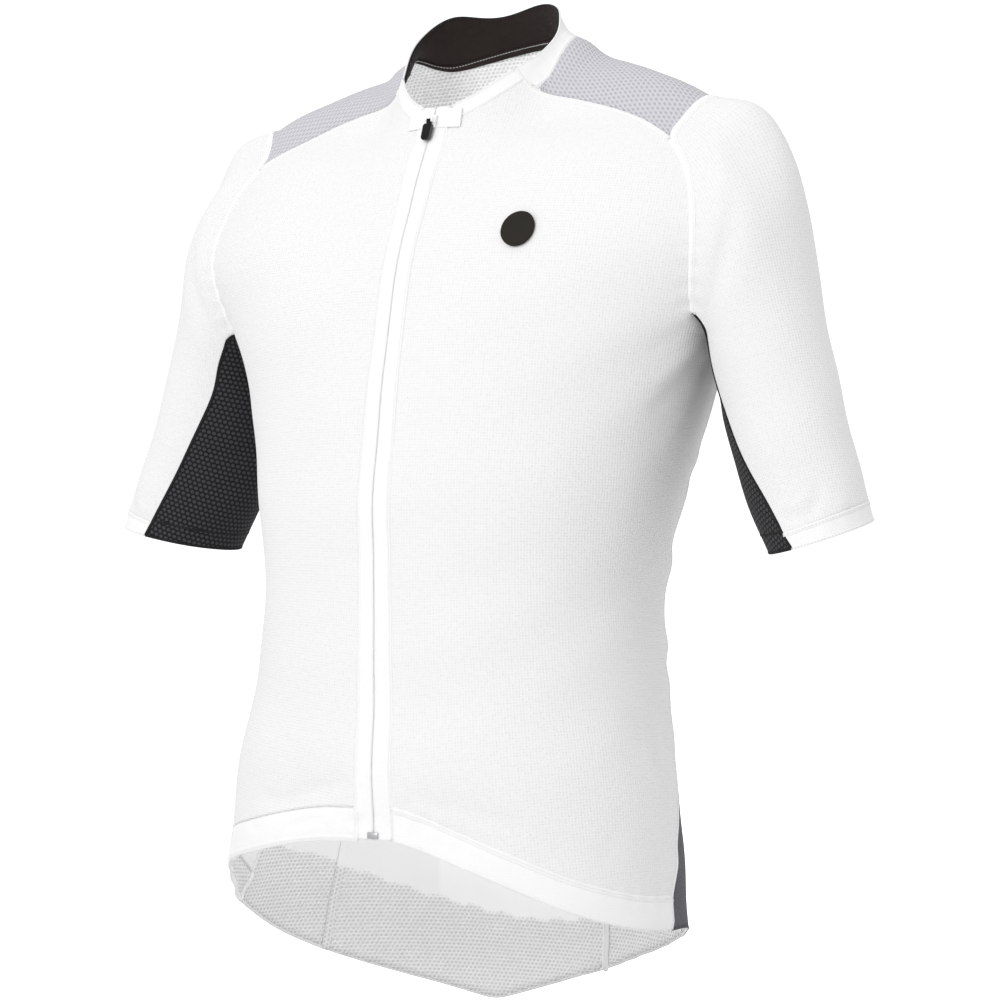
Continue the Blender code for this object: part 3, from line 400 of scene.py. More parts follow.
def axesOf(tree, vector):
    node = tree.nodes.new("ShaderNodeSeparateXYZ")
    tree.links.new(vector, node.inputs[0])
    return node.outputs["X"], node.outputs["Y"]


def noise(tree, vector, scale, detail):
    node = tree.nodes.new("ShaderNodeTexNoise")
    node.inputs["Scale"].default_value = scale
    node.inputs["Detail"].default_value = detail
    tree.links.new(vector, node.inputs["Vector"])
    return node.outputs["Fac"]


def startGroup(name, sizes, outputs):
    group = bpy.data.node_groups.new(name, "ShaderNodeTree")
    group.interface.new_socket(name="Vector", in_out="INPUT", socket_type="NodeSocketVector")
    for label, value in sizes.items():
        socket = group.interface.new_socket(name=label, in_out="INPUT", socket_type="NodeSocketFloat")
        socket.default_value = value
    for label in outputs:
        group.interface.new_socket(name=label, in_out="OUTPUT", socket_type="NodeSocketFloat")
    return group, group.nodes.new("NodeGroupInput").outputs, group.nodes.new("NodeGroupOutput").inputs


def makePiqueGroup():
    sizes = {"Wale Pitch": 0.0022, "Course Pitch": 0.0021}
    group, given, result = startGroup("piqueKnit", sizes, ("Height", "Shade"))
    across, up = axesOf(group, given["Vector"])
    sway = calc(group, "SUBTRACT", noise(group, given["Vector"], 160, 2), 0.5)
    sway = calc(group, "MULTIPLY", sway, 0.0011)
    waves = []
    for axis, pitch in ((across, "Wale Pitch"), (up, "Course Pitch")):
        turns = calc(group, "DIVIDE", calc(group, "ADD", axis, sway), given[pitch])
        wave = calc(group, "COSINE", calc(group, "MULTIPLY", turns, 2 * math.pi))
        waves.append(calc(group, "MULTIPLY_ADD", wave, 0.5, 0.5))
    ridge, rung = waves
    tuck = calc(group, "SUBTRACT", 1.0, ridge)
    tuck = calc(group, "MULTIPLY", tuck, calc(group, "SUBTRACT", 1.0, rung))
    patch = smoothStep(group, noise(group, given["Vector"], 330, 2), 0.38, 0.66)
    uneven = calc(group, "MULTIPLY_ADD", patch, 0.8, 0.2)  # tucks don't all draw in alike
    pit = calc(group, "MULTIPLY", smoothStep(group, tuck, 0.15, 0.95), uneven)
    height = calc(group, "MULTIPLY_ADD", ridge, 0.45, calc(group, "MULTIPLY", rung, 0.3))
    height = calc(group, "SUBTRACT", height, calc(group, "MULTIPLY", pit, 0.5))
    group.links.new(height, result["Height"])
    # the pit mask also goes out as Shade, where painted shade darkens the tucks
    group.links.new(pit, result["Shade"])
    return group


def makeNetGroup():
    sizes = {
        "Pitch Across": 0.004,
        "Pitch Up": 0.0034,
        "Hole Width": 0.002,
        "Hole Height": 0.0017,
        "Slant": 0.0,
    }
    group, given, result = startGroup("openNet", sizes, ("Hole", "Height"))
    across, up = axesOf(group, given["Vector"])
    twoRows = calc(group, "MULTIPLY", given["Pitch Up"], 2.0)
    reach = []
    for shift in (0.0, 0.5):  # two sets of rows, each half a mesh beside the other
        x = repeated(group, across, given["Pitch Across"], shift)
        y = calc(group, "MULTIPLY_ADD", x, given["Slant"], repeated(group, up, twoRows, shift))
        x = calc(group, "DIVIDE", x, given["Hole Width"])
        y = calc(group, "DIVIDE", y, given["Hole Height"])
        reach.append(calc(group, "MULTIPLY", lengthOf(group, x, y), 2.0))
    nearest = calc(group, "MINIMUM", reach[0], reach[1])
    group.links.new(smoothStep(group, nearest, 0.72, 1.15, fromOne=True), result["Hole"])
    group.links.new(smoothStep(group, nearest, 0.8, 1.9), result["Height"])
    return group


def makeStitchGroup():
    sizes = {"Row": 0.0, "Pitch": 0.0026, "Stitch Length": 0.0021, "Thread": 0.0006}
    group, given, result = startGroup("threadRow", sizes, ("Thread Mask", "Height"))
    across, up = axesOf(group, given["Vector"])
    along = calc(group, "DIVIDE", repeated(group, across, given["Pitch"]), given["Stitch Length"])
    beside = calc(group, "DIVIDE", calc(group, "SUBTRACT", up, given["Row"]), given["Thread"])
    reach = lengthOf(group, along, beside)
    group.links.new(smoothStep(group, reach, 0.38, 0.52, fromOne=True), result["Thread Mask"])
    group.links.new(smoothStep(group, reach, 0.1, 0.55, fromOne=True), result["Height"])
    return group


def makeToneGroup():
    group, given, result = startGroup("clothTone", {"Amount": 0.04}, ("Tone", "Fibre"))
    fine = noise(group, given["Vector"], 900, 3)
    broad = calc(group, "MULTIPLY", noise(group, given["Vector"], 9, 3), 0.6)
    mixed = calc(group, "MULTIPLY_ADD", fine, 0.4, broad)
    swing = calc(group, "MULTIPLY", calc(group, "SUBTRACT", mixed, 0.5), given["Amount"])
    group.links.new(calc(group, "ADD", swing, 1.0), result["Tone"])
    group.links.new(fine, result["Fibre"])
    return group


piqueKnit = makePiqueGroup()
openNet = makeNetGroup()
threadRow = makeStitchGroup()
clothTone = makeToneGroup()


# finishes

fibreRange = (0.3, 0.7)  # what the fine noise runs between
seamLook = {"rough": 0.65, "roughRange": (0.55, 0.75), "tone": 0.08, "grain": 0.0001, "depth": 0.0003}


class Finish:  # a material being put together
    def __init__(self, name, colour, roughness, sheen=0.0, metallic=0.0, gloss=0.25):
        self.material = bpy.data.materials.new(name)
        self.material.use_nodes = True
        self.tree = self.material.node_tree
        self.shader = self.tree.nodes["Principled BSDF"]
        self.shader.inputs["Metallic"].default_value = metallic
        self.shader.inputs["Roughness"].default_value = roughness
        self.shader.inputs["Specular IOR Level"].default_value = gloss
        if sheen:
            self.shader.inputs["Sheen Weight"].default_value = sheen
            self.shader.inputs["Sheen Roughness"].default_value = 0.5
        self.material.diffuse_color = (*colour, 1)
        self.colour = self.tree.nodes.new("ShaderNodeRGB")
        self.colour.outputs[0].default_value = (*colour, 1)
        self.now = self.colour.outputs[0]
        self.heights = []

    def clothMap(self):
        uv = self.tree.nodes.new("ShaderNodeUVMap")
        uv.uv_map = "clothMap"
        return uv.outputs["UV"]

    def objectMap(self):
        return self.tree.nodes.new("ShaderNodeTexCoord").outputs["Object"]

    def reach(self, attribute):  # one where the attribute is well above nought
        node = self.tree.nodes.new("ShaderNodeAttribute")
        node.attribute_name = attribute
        return calc(self.tree, "ADD", node.outputs["Fac"], 0.5, clamp=True)

    def place(self, group, vector, **values):
        node = self.tree.nodes.new("ShaderNodeGroup")
        node.node_tree = group
        self.tree.links.new(vector, node.inputs["Vector"])
        for label, value in values.items():
            node.inputs[label.replace("_", " ")].default_value = value
        return node

    def tint(self, mask, colour, strength=1.0):  # mixes a colour in where the mask is one
        node = self.tree.nodes.new("ShaderNodeMix")
        node.data_type = "RGBA"
        if strength != 1.0:
            mask = calc(self.tree, "MULTIPLY", mask, strength)
        self.tree.links.new(mask, node.inputs["Factor"])
        self.tree.links.new(self.now, node.inputs["A"])
        node.inputs["B"].default_value = (*colour, 1)
        self.now = node.outputs["Result"]

    def shadeBy(self, tone):
        node = self.tree.nodes.new("ShaderNodeVectorMath")
        node.operation = "SCALE"
        self.tree.links.new(self.now, node.inputs[0])
        self.tree.links.new(tone, node.inputs["Scale"])
        self.now = node.outputs[0]

    def raiseBy(self, height, distance):
        bump = self.tree.nodes.new("ShaderNodeBump")
        bump.inputs["Distance"].default_value = distance
        self.tree.links.new(height, bump.inputs["Height"])
        if self.heights:
            self.tree.links.new(self.heights[-1].outputs["Normal"], bump.inputs["Normal"])
        self.heights.append(bump)

    def roughen(self, fibre, low, high):
        node = self.tree.nodes.new("ShaderNodeMapRange")
        self.tree.links.new(fibre, node.inputs["Value"])
        node.inputs["From Min"].default_value, node.inputs["From Max"].default_value = fibreRange
        node.inputs["To Min"].default_value = low
        node.inputs["To Max"].default_value = high
        self.tree.links.new(node.outputs["Result"], self.shader.inputs["Roughness"])

    def woven(self, where, height, settings):  # tone and fibres over the cloth's own structure
        tone = self.place(clothTone, where, Amount=settings["tone"]).outputs
        self.shadeBy(tone["Tone"])
        self.raiseBy(height, settings["depth"])
        self.raiseBy(tone["Fibre"], settings["grain"])
        self.roughen(tone["Fibre"], *settings["roughRange"])
        return self.done()

    def done(self):
        self.tree.links.new(self.now, self.shader.inputs["Base Color"])
        if self.heights:
            self.tree.links.new(self.heights[-1].outputs["Normal"], self.shader.inputs["Normal"])
        return self.material


def knitFinish(name, colour, settings):
    finish = Finish(name, colour, settings["rough"], sheen=settings["sheen"], gloss=settings["gloss"])
    where = finish.clothMap()
    knit = finish.place(piqueKnit, where, Wale_Pitch=settings["wale"], Course_Pitch=settings["course"])
    # the tucks' pits get the darker pit colour: painted shade in the knit's recesses
    finish.tint(knit.outputs["Shade"], settings["pit"], settings["pitShadeStrength"])
    return finish.woven(where, knit.outputs["Height"], settings)


def netFinish(name, colour, holeColour, settings, backed=False):
    finish = Finish(name, colour, settings["rough"], sheen=settings["sheen"], gloss=settings["gloss"])
    where = finish.clothMap()
    net = finish.place(
        openNet,
        where,
        Pitch_Across=settings["across"],
        Pitch_Up=settings["up"],
        Hole_Width=settings["holeWidth"],
        Hole_Height=settings["holeHeight"],
        Slant=settings.get("slant", 0.0),
    )
    hole, height = net.outputs["Hole"], net.outputs["Height"]
    if backed:  # cloth behind the net fills its holes
        cover = finish.reach("bagReach")
        openShare = calc(finish.tree, "SUBTRACT", 1.0, cover)
        finish.tint(cover, settings["backedColour"])
        finish.tint(finish.reach("sidePocketReach"), settings["pocketTone"])
        hole = calc(finish.tree, "MULTIPLY", hole, openShare)
        height = calc(finish.tree, "MULTIPLY", height, openShare)
    # the holes are not cut but tinted a flat colour; on the back's pale net the darker hole colour is painted
    # shade of the hollow seen through them
    finish.tint(hole, holeColour, settings["holeStrength"])
    return finish.woven(where, height, settings)


def seamFinish(name, colour, thread, settings):  # a covered seam with two rows of thread
    sheen, gloss = settings.get("sheen", 0.1), settings.get("gloss", 0.2)
    finish = Finish(name, colour, seamLook["rough"], sheen=sheen, gloss=gloss)
    where = finish.clothMap()
    tone = finish.place(clothTone, where, Amount=seamLook["tone"])
    finish.shadeBy(tone.outputs["Tone"])
    finish.raiseBy(tone.outputs["Fibre"], seamLook["grain"])
    for row in settings["rows"]:
        stitch = finish.place(
            threadRow,
            where,
            Row=row,
            Pitch=settings["pitch"],
            Stitch_Length=settings["length"],
            Thread=settings["thread"],
        )
        finish.tint(stitch.outputs["Thread Mask"], thread)
        finish.raiseBy(stitch.outputs["Height"], seamLook["depth"])
    finish.roughen(tone.outputs["Fibre"], *seamLook["roughRange"])
    return finish.done()


def fibreFinish(name, colour, settings):  # small parts, with a grain in metres on their own axes
    finish = Finish(
        name,
        colour,
        settings["rough"],
        sheen=settings.get("sheen", 0.0),
        metallic=settings.get("metallic", 0.0),
        gloss=settings.get("gloss", 0.25),
    )
    tone = finish.place(clothTone, finish.objectMap(), Amount=settings["tone"])
    finish.shadeBy(tone.outputs["Tone"])
    finish.raiseBy(tone.outputs["Fibre"], settings["depth"])
    if "roughRange" in settings:
        finish.roughen(tone.outputs["Fibre"], *settings["roughRange"])
    return finish.done()


def grey(value):
    return (value, value, value)


whiteKnitLook = {
    "wale": 0.0022,
    "course": 0.0020,
    # pit: a darker colour mixed into the tucks, painted shade of their recesses
    "pit": (0.70, 0.70, 0.71),
    "pitShadeStrength": 0.5,
    "depth": 0.0002,
    "grain": 0.00008,
    "tone": 0.04,
    "rough": 0.75,
    "roughRange": (0.68, 0.86),
    "sheen": 0.05,
    "gloss": 0.2,
}
sideKnitLook = dict(
    whiteKnitLook,
    wale=0.0016,
    course=0.0018,
    pit=(0.070, 0.068, 0.078),
    pitShadeStrength=0.7,
    tone=0.16,
    gloss=0.15,
)
trimLook = {  # close elastic knit: fine ribs along V
    "wale": 0.0011,
    "course": 0.00176,
    "pit": grey(0.84),
    "pitShadeStrength": 0.4,
    "depth": 0.00008,
    "grain": 0.00006,
    "tone": 0.02,
    "rough": 0.6,
    "roughRange": (0.55, 0.70),
    "sheen": 0.05,
    "gloss": 0.2,
}
liningLook = dict(
    trimLook,
    wale=0.0012,
    course=0.00192,
    pit=(0.010, 0.007, 0.007),
    pitShadeStrength=0.7,
    depth=0.00012,
    tone=0.5,
    rough=0.85,
    roughRange=(0.80, 0.95),
    sheen=0.03,
    gloss=0.12,
)
whiteKnit = knitFinish("bodyPique", grey(0.87), whiteKnitLook)
sideKnit = knitFinish("sideKnit", (0.118, 0.115, 0.130), sideKnitLook)
smoothTrim = knitFinish("elasticTrim", grey(0.925), trimLook)
liningCloth = knitFinish("collarLining", (0.021, 0.0150, 0.0140), liningLook)
netSizes = {
    "across": 0.0052,
    "up": 0.0028,
    "holeWidth": 0.0034,
    "holeHeight": 0.00125,
    "holeStrength": 0.8,
    "tone": 0.05,
    "depth": 0.0004,
    "grain": 0.0001,
    "rough": 0.8,
    "roughRange": (0.7, 0.9),
    "sheen": 0.05,
    "gloss": 0.15,
}
tailSizes = dict(
    netSizes,
    across=0.0035,
    up=0.0028,
    holeWidth=0.0024,
    holeHeight=0.0017,
    slant=0.25,
    backedColour=grey(0.95),
    pocketTone=grey(0.90),
)
gussetSizes = dict(
    netSizes,
    across=0.0040,
    up=0.0034,
    holeWidth=0.0031,
    holeHeight=0.0028,
    holeStrength=0.75,
    tone=0.25,
    gloss=0.1,
)
# its darker holes are painted shade of the dark hollow inside, seen through the net
backNet = netFinish("backNet", (0.64, 0.635, 0.675), (0.40, 0.395, 0.43), netSizes)
insideNet = netFinish("insideNet", grey(0.88), (0.55, 0.55, 0.56), tailSizes, backed=True)
gussetNet = netFinish("gussetNet", (0.012, 0.012, 0.013), (0.070, 0.070, 0.075), gussetSizes)
oneRow = {"rows": (0.0,), "pitch": 0.0026, "length": 0.0021, "thread": 0.0006}
twoRowStitch = dict(oneRow, rows=(-0.0017, 0.0017))
closeRow = dict(oneRow, pitch=0.0024, length=0.0019)
dullRow = dict(closeRow, sheen=0.0, gloss=0.1)
whiteSeam = seamFinish("coverSeam", grey(0.93), grey(0.97), twoRowStitch)
narrowSeam = seamFinish("narrowSeam", grey(0.90), grey(0.96), closeRow)
blackSeam = seamFinish("blackSeam", (0.016, 0.015, 0.016), (0.04, 0.04, 0.042), dullRow)
darkSeam = seamFinish("darkSeam", (0.075, 0.073, 0.08), (0.13, 0.13, 0.14), dullRow)
paleSeam = seamFinish("paleSeam", grey(0.80), grey(0.90), oneRow)
greySeam = seamFinish("greySeam", (0.72, 0.72, 0.73), (0.86, 0.86, 0.87), oneRow)
threadSizes = {"rough": 0.55, "sheen": 0.1, "tone": 0.25, "depth": 0.00005}
threadWhite = fibreFinish("threadWhite", grey(0.80), threadSizes)
zipMetal = fibreFinish(
    "zipMetal",
    (0.52, 0.52, 0.53),
    {"rough": 0.35, "metallic": 1.0, "tone": 0.35, "depth": 0.00003, "roughRange": (0.28, 0.45)},
)
sliderEnamel = fibreFinish("sliderEnamel", grey(0.90), {"rough": 0.4, "tone": 0.05, "depth": 0.00002})
coilNylon = fibreFinish("coilNylon", grey(0.92), {"rough": 0.5, "tone": 0.3, "depth": 0.00003})
rubberLook = {"rough": 0.55, "gloss": 0.12, "tone": 0.5, "depth": 0.00006, "roughRange": (0.5, 0.7)}
pullRubber = fibreFinish("pullRubber", grey(0.010), rubberLook)
# a greyer copy of the black rubber for the tab's sides: painted sheen
rubberSidePaintedSheen = fibreFinish("rubberSidePaintedSheen", (0.085, 0.083, 0.080), rubberLook)
badgePrint = fibreFinish(
    "badgePrint",
    (0.016, 0.0135, 0.010),
    {"rough": 0.55, "gloss": 0.15, "tone": 0.6, "depth": 0.00006, "roughRange": (0.42, 0.6)},
)
print("finishes made")

# cut the cloth pieces

frontSettings = {"round": "torso", "wall": 0.0013, "levels": 3, "thick": 0.0011}
sideSettings = {"round": "torso", "wall": 0.0013, "levels": 2, "thick": 0.0011}
backSettings = {"round": "torso", "wall": 0.0015, "levels": 2, "thick": 0.0012}
pocketSettings = {"round": "torso", "wall": 0.0010, "levels": 2, "thick": 0.0009}
sleeveSettings = {"round": "arm", "wall": 0.0013, "levels": 3, "thick": 0.0011}
cuffSettings = {"round": "arm", "wall": 0.0012, "levels": 3, "thick": 0.0011, "cut": (0.152, 0.0105)}
gussetSettings = {"round": "arm", "wall": 0.0015, "levels": 2, "thick": 0.0012}
hemSettings = {"round": "torso", "wall": 0.0012, "levels": 3, "thick": 0.0011, "cut": (0.228, 0.021)}
tapeSettings = {"round": "torso", "wall": 0.0012, "levels": 3, "thick": 0.0011, "cut": (0.0145, 0.521)}
bindingSettings = {"round": "torso", "wall": 0.0012, "levels": 3, "thick": 0.0011, "cut": (0.064, 0.0105)}
guardSettings = {"round": "torso", "wall": 0.0010, "levels": 2, "thick": 0.0010}
collarSettings = {"round": "neck", "wall": 0.0012, "levels": 3, "thick": 0.0011, "cut": (0.277, 0.0245)}
badgeSettings = {"round": "torso", "wall": 0.0010, "levels": 2, "thick": 0.0010}

for side, word in sides:
    clothPiece(f"front_{word}", whiteKnit, frontSettings)
    clothPiece(f"side_panel_{word}", sideKnit, sideSettings)
    clothPiece(f"hem_band_{word}", smoothTrim, hemSettings)
    clothPiece(f"zip_tape_{word}", smoothTrim, tapeSettings)
    clothPiece(f"neck_binding_{word}", smoothTrim, bindingSettings)
    clothPiece(f"zip_guard_{word}", smoothTrim, guardSettings)
    clothPiece(f"sleeve_{word}", whiteKnit, sleeveSettings, side)
    clothPiece(f"cuff_band_{word}", smoothTrim, cuffSettings, side)
    clothPiece(f"gusset_{word}", gussetNet, gussetSettings, side)
    clothPiece(f"pocket_{word}", whiteKnit, pocketSettings)
clothPiece("pocket_centre", whiteKnit, pocketSettings)
clothPiece("back_panel", backNet, backSettings)
clothPiece("collar", smoothTrim, collarSettings)
clothPiece("collar_lining", liningCloth, collarSettings)
clothPiece("badge", badgePrint, badgeSettings)
netLined = ("back_panel", "side_panel_left", "side_panel_right", "hem_band_left", "hem_band_right")
for name in netLined:  # the inside of these is pale net
    cloth[name]["piece"].data.materials.append(insideNet)
    cloth[name]["inside"] = 1
print("cloth cut")

# places that the seams run by: start, past, end, on the wearer's left or across the middle
seamPlaces = {
    "armhole": ((0.201, -0.013, -0.175), (0.195, 0.027, -0.025), (0.191, 0.073, -0.173)),
    "armholeFront": ((0.201, -0.013, -0.175), (0.210, -0.026, -0.112), (0.182, -0.008, -0.055)),
    "underarm": ((0.201, -0.013, -0.176), (0.199, 0.034, -0.189), (0.191, 0.073, -0.173)),
    "yoke": ((0.056, -0.006, -0.006), (0.122, 0.001, -0.03), (0.182, -0.008, -0.055)),
    "hemTop": ((0.029, -0.121, -0.511), (0.129, -0.096, -0.547), (0.179, 0, -0.573)),
    "hemFoot": ((0.181, -0.008, -0.592), (0.131, -0.096, -0.568), (0.03, -0.123, -0.532)),
    "sideFront": ((0.181, -0.008, -0.592), (0.137, 0.050, -0.391), (0.199, 0.036, -0.1895)),
    "sideBack": ((0.14, 0.068, -0.605), (0.111, 0.075, -0.391), (0.195, 0.060, -0.184)),
    "sideFoot": ((0.14, 0.068, -0.605), (0.168, 0.034, -0.594), (0.181, -0.008, -0.592)),
    "gussetFront": ((0.284, -0.021, -0.327), (0.218, -0.007, -0.225), (0.201, -0.013, -0.176)),
    "gussetBack": ((0.259, 0.059, -0.329), (0.21, 0.068, -0.224), (0.191, 0.073, -0.173)),
    "gussetFoot": ((0.259, 0.059, -0.329), (0.245, 0.016, -0.335), (0.284, -0.021, -0.327)),
    "cuffTop": ((0.279, -0.02, -0.319), (0.315, 0.024, -0.305), (0.255, 0.06, -0.321)),
    "cuffFoot": ((0.284, -0.021, -0.327), (0.319, 0.024, -0.316), (0.259, 0.059, -0.329)),
    "bindingFoot": ((0.011, -0.041, -0.032), (0.038, -0.027, -0.022), (0.056, -0.006, -0.006)),
    "neckline": ((0.051, -0.009, 0.001), (0.034, -0.026, -0.013), (0.011, -0.037, -0.023)),
    "collarEnd": ((0.061, -0.002, -0.011), (0.055, -0.007, -0.004), (0.051, -0.009, 0.001)),
    "zipEdge": ((0.011, -0.037, -0.023), (0.013, -0.103, -0.265), (0.03, -0.123, -0.532)),
    "pocketSide": ((0.119, 0.081, -0.567), (0.116, 0.077, -0.48), (0.115, 0.073, -0.394)),
    "pocketMouth": ((0.115, 0.073, -0.394), (0.093, 0.089, -0.398), (0.067, 0.097, -0.402)),
    "pocketFoot": ((0.061, 0.102, -0.586), (0.092, 0.093, -0.577), (0.119, 0.081, -0.567)),
    "collarFoot": ((-0.062, -0.003, -0.014), (-0.001, 0.075, 0.031), (0.061, -0.002, -0.011)),
    "collarTop": ((0.051, -0.009, 0.001), (0.001, 0.068, 0.054), (-0.051, -0.009, 0.001)),
    "liningTop": ((0.05, -0.008, 0.001), (0.001, 0.066, 0.053), (-0.05, -0.008, 0.001)),
    "liningFoot": ((0.061, -0.002, -0.014), (-0.003, 0.074, 0.031), (-0.061, -0.002, -0.014)),
    "tailFoot": ((-0.163, 0.045, -0.632), (-0.016, 0.107, -0.657), (0.139, 0.068, -0.605)),
    "divideLeft": ((0.061, 0.102, -0.586), (0.061, 0.099, -0.492), (0.064, 0.098, -0.401)),
    "divideRight": ((-0.089, 0.095, -0.606), (-0.083, 0.094, -0.507), (-0.079, 0.093, -0.412)),
    "centreMouth": ((-0.079, 0.093, -0.412), (-0.008, 0.107, -0.408), (0.064, 0.098, -0.401)),
    "centreFoot": ((0.061, 0.102, -0.586), (-0.014, 0.107, -0.605), (-0.089, 0.095, -0.606)),
}
# the hem hangs lower on the wearer's right, so these seams end elsewhere there
rightPlaces = {
    "sideFront": ((-0.1805, -0.032, -0.5915), (-0.137, 0.050, -0.391), (-0.199, 0.036, -0.1895)),
    "sideBack": ((-0.1635, 0.045, -0.632), (-0.111, 0.075, -0.391), (-0.195, 0.060, -0.184)),
    "sideFoot": ((-0.1635, 0.045, -0.632), (-0.172, 0.007, -0.612), (-0.1805, -0.032, -0.5915)),
    "pocketSide": ((-0.1447, 0.0646, -0.5905), (-0.127, 0.071, -0.490), (-0.1145, 0.0741, -0.4017)),
    "pocketMouth": ((-0.1145, 0.0741, -0.4017), (-0.094, 0.087, -0.404), (-0.0734, 0.0948, -0.4055)),
    "pocketFoot": ((-0.0882, 0.0956, -0.6047), (-0.1175, 0.081, -0.598), (-0.1447, 0.0646, -0.5905)),
}


def onSide(places, side):
    return [(x * side, y, z) for x, y, z in places]


# creases and puckers, worked into the sheets

# x1 y1 z1  x2 y2 z2  depth  width: a trough has a negative depth
armpitCreases = (
    (0.202, -0.012, -0.186, 0.184, -0.034, -0.204, -0.0026, 0.0060),
    (0.198, 0.006, -0.196, 0.182, -0.022, -0.222, 0.0016, 0.0060),
    (0.194, 0.012, -0.208, 0.176, -0.018, -0.240, -0.0022, 0.0070),
    (0.188, 0.022, -0.220, 0.170, 0.000, -0.262, 0.0014, 0.0080),
    (0.200, 0.030, -0.200, 0.186, 0.030, -0.236, -0.0016, 0.0070),
    (0.193, 0.066, -0.196, 0.178, 0.086, -0.226, -0.0020, 0.0080),
    (0.186, 0.078, -0.214, 0.164, 0.100, -0.250, 0.0014, 0.0090),
    (0.206, -0.020, -0.196, 0.216, -0.026, -0.224, -0.0014, 0.0060),
    (0.212, 0.070, -0.190, 0.236, 0.070, -0.214, -0.0016, 0.0080),
)
cuffCreases = (
    (0.2780, -0.018, -0.3140, 0.2960, -0.017, -0.3090, -0.0020, 0.0042),
    (0.2960, -0.017, -0.3090, 0.3010, -0.013, -0.2990, -0.0017, 0.0040),
    (0.3010, -0.013, -0.2990, 0.3000, -0.012, -0.2900, -0.0010, 0.0042),
    (0.2800, -0.018, -0.3090, 0.2930, -0.017, -0.3050, 0.0010, 0.0040),
    (0.3110, -0.008, -0.3080, 0.3150, 0.002, -0.3000, 0.0009, 0.0045),
    (0.3060, 0.048, -0.3040, 0.3120, 0.040, -0.2900, -0.0016, 0.0050),
    (0.2760, 0.058, -0.3050, 0.2860, 0.054, -0.2880, -0.0012, 0.0055),
)
hemCreases = (
    (-0.0660, -0.1180, -0.5060, -0.0140, -0.1230, -0.4950, -0.0016, 0.0060),
    (-0.1000, -0.1080, -0.5080, -0.0620, -0.1180, -0.5100, -0.0013, 0.0060),
    (-0.0640, -0.1180, -0.5260, -0.0350, -0.1220, -0.5200, -0.0012, 0.0036),
    (-0.1180, -0.1020, -0.5270, -0.1000, -0.1080, -0.5300, -0.0008, 0.0036),
    (0.0480, -0.1200, -0.4990, 0.0700, -0.1165, -0.5110, -0.0011, 0.0060),
    (0.0700, -0.1160, -0.5060, 0.1180, -0.0990, -0.5200, -0.0011, 0.0070),
    (0.0500, -0.1200, -0.5160, 0.0980, -0.1080, -0.5330, -0.0009, 0.0032),
    (0.1330, -0.0930, -0.5270, 0.1500, -0.0760, -0.5430, -0.0008, 0.0070),
    (0.1560, -0.0600, -0.5520, 0.1640, -0.0480, -0.5200, -0.0010, 0.0080),
)
sideCreases = (
    (0.1600, 0.0060, -0.4400, 0.1650, 0.0000, -0.4780, -0.0012, 0.0070),
    (0.1640, -0.0120, -0.4760, 0.1700, 0.0010, -0.5060, 0.0011, 0.0070),
    (0.1640, -0.0300, -0.4300, 0.1680, -0.0080, -0.4620, -0.0008, 0.0090),
    (0.1440, 0.0300, -0.3500, 0.1560, -0.0260, -0.3640, -0.0011, 0.0110),
    (0.1480, 0.0300, -0.3820, 0.1540, -0.0140, -0.3940, 0.0010, 0.0120),
    (-0.1460, 0.0300, -0.3560, -0.1560, -0.0260, -0.3480, -0.0013, 0.0110),
    (-0.1500, 0.0260, -0.3900, -0.1540, -0.0240, -0.4020, 0.0011, 0.0120),
    (-0.1620, -0.0100, -0.4700, -0.1700, -0.0400, -0.5050, -0.0012, 0.0110),
)
tailCreases = (
    (0.0120, 0.1070, -0.6540, 0.0460, 0.1040, -0.6260, -0.0028, 0.0050),
    (0.0200, 0.1060, -0.6580, 0.0520, 0.1030, -0.6340, 0.0024, 0.0050),
    (0.0850, 0.0940, -0.6220, 0.1180, 0.0820, -0.6040, -0.0018, 0.0050),
    (0.0950, 0.0900, -0.6260, 0.1320, 0.0740, -0.6060, 0.0016, 0.0050),
    (0.1180, 0.0820, -0.6130, 0.1400, 0.0660, -0.6000, -0.0014, 0.0045),
    (-0.1200, 0.0800, -0.6350, -0.1480, 0.0600, -0.6120, -0.0016, 0.0070),
    (-0.0900, 0.0950, -0.6560, -0.1100, 0.0860, -0.6300, 0.0014, 0.0070),
)
backCreases = (
    (-0.1150, 0.0880, -0.3600, -0.0200, 0.1100, -0.3500, -0.0018, 0.0100),
    (0.0200, 0.1080, -0.3620, 0.1180, 0.0780, -0.3780, -0.0016, 0.0100),
    (-0.0600, 0.1060, -0.3840, 0.0500, 0.1020, -0.3900, 0.0012, 0.0110),
    (-0.1500, 0.1080, -0.2500, -0.0900, 0.1220, -0.2900, -0.0016, 0.0120),
    (0.1520, 0.1060, -0.2400, 0.0900, 0.1220, -0.2760, -0.0014, 0.0120),
    (-0.0800, 0.0980, -0.0900, 0.0300, 0.1020, -0.1050, -0.0010, 0.0160),
)
collarCreases = (
    (-0.0560, 0.0300, 0.0260, -0.0200, 0.0660, 0.0340, -0.0010, 0.0032),
    (-0.0400, 0.0540, 0.0440, 0.0000, 0.0690, 0.0470, -0.0008, 0.0030),
    (0.0050, 0.0690, 0.0360, 0.0440, 0.0550, 0.0420, -0.0009, 0.0032),
    (0.0570, 0.0020, -0.0020, 0.0610, 0.0260, 0.0170, -0.0008, 0.0028),
    (0.0600, 0.0240, 0.0320, 0.0520, 0.0480, 0.0440, -0.0006, 0.0030),
)
mirror = np.array((-1, 1, 1, -1, 1, 1, 0.85, 1.1))  # a little shallower and wider on the wearer's right
armpit, cuff = np.array(armpitCreases), np.array(cuffCreases)
others = np.array(hemCreases + sideCreases + tailCreases + backCreases + collarCreases)
allCreases = np.concatenate((armpit, armpit * mirror, cuff, cuff * mirror, others))
creaseEnd = {"share": 0.35, "inset": 0.1}  # how deep a crease still is at its ends


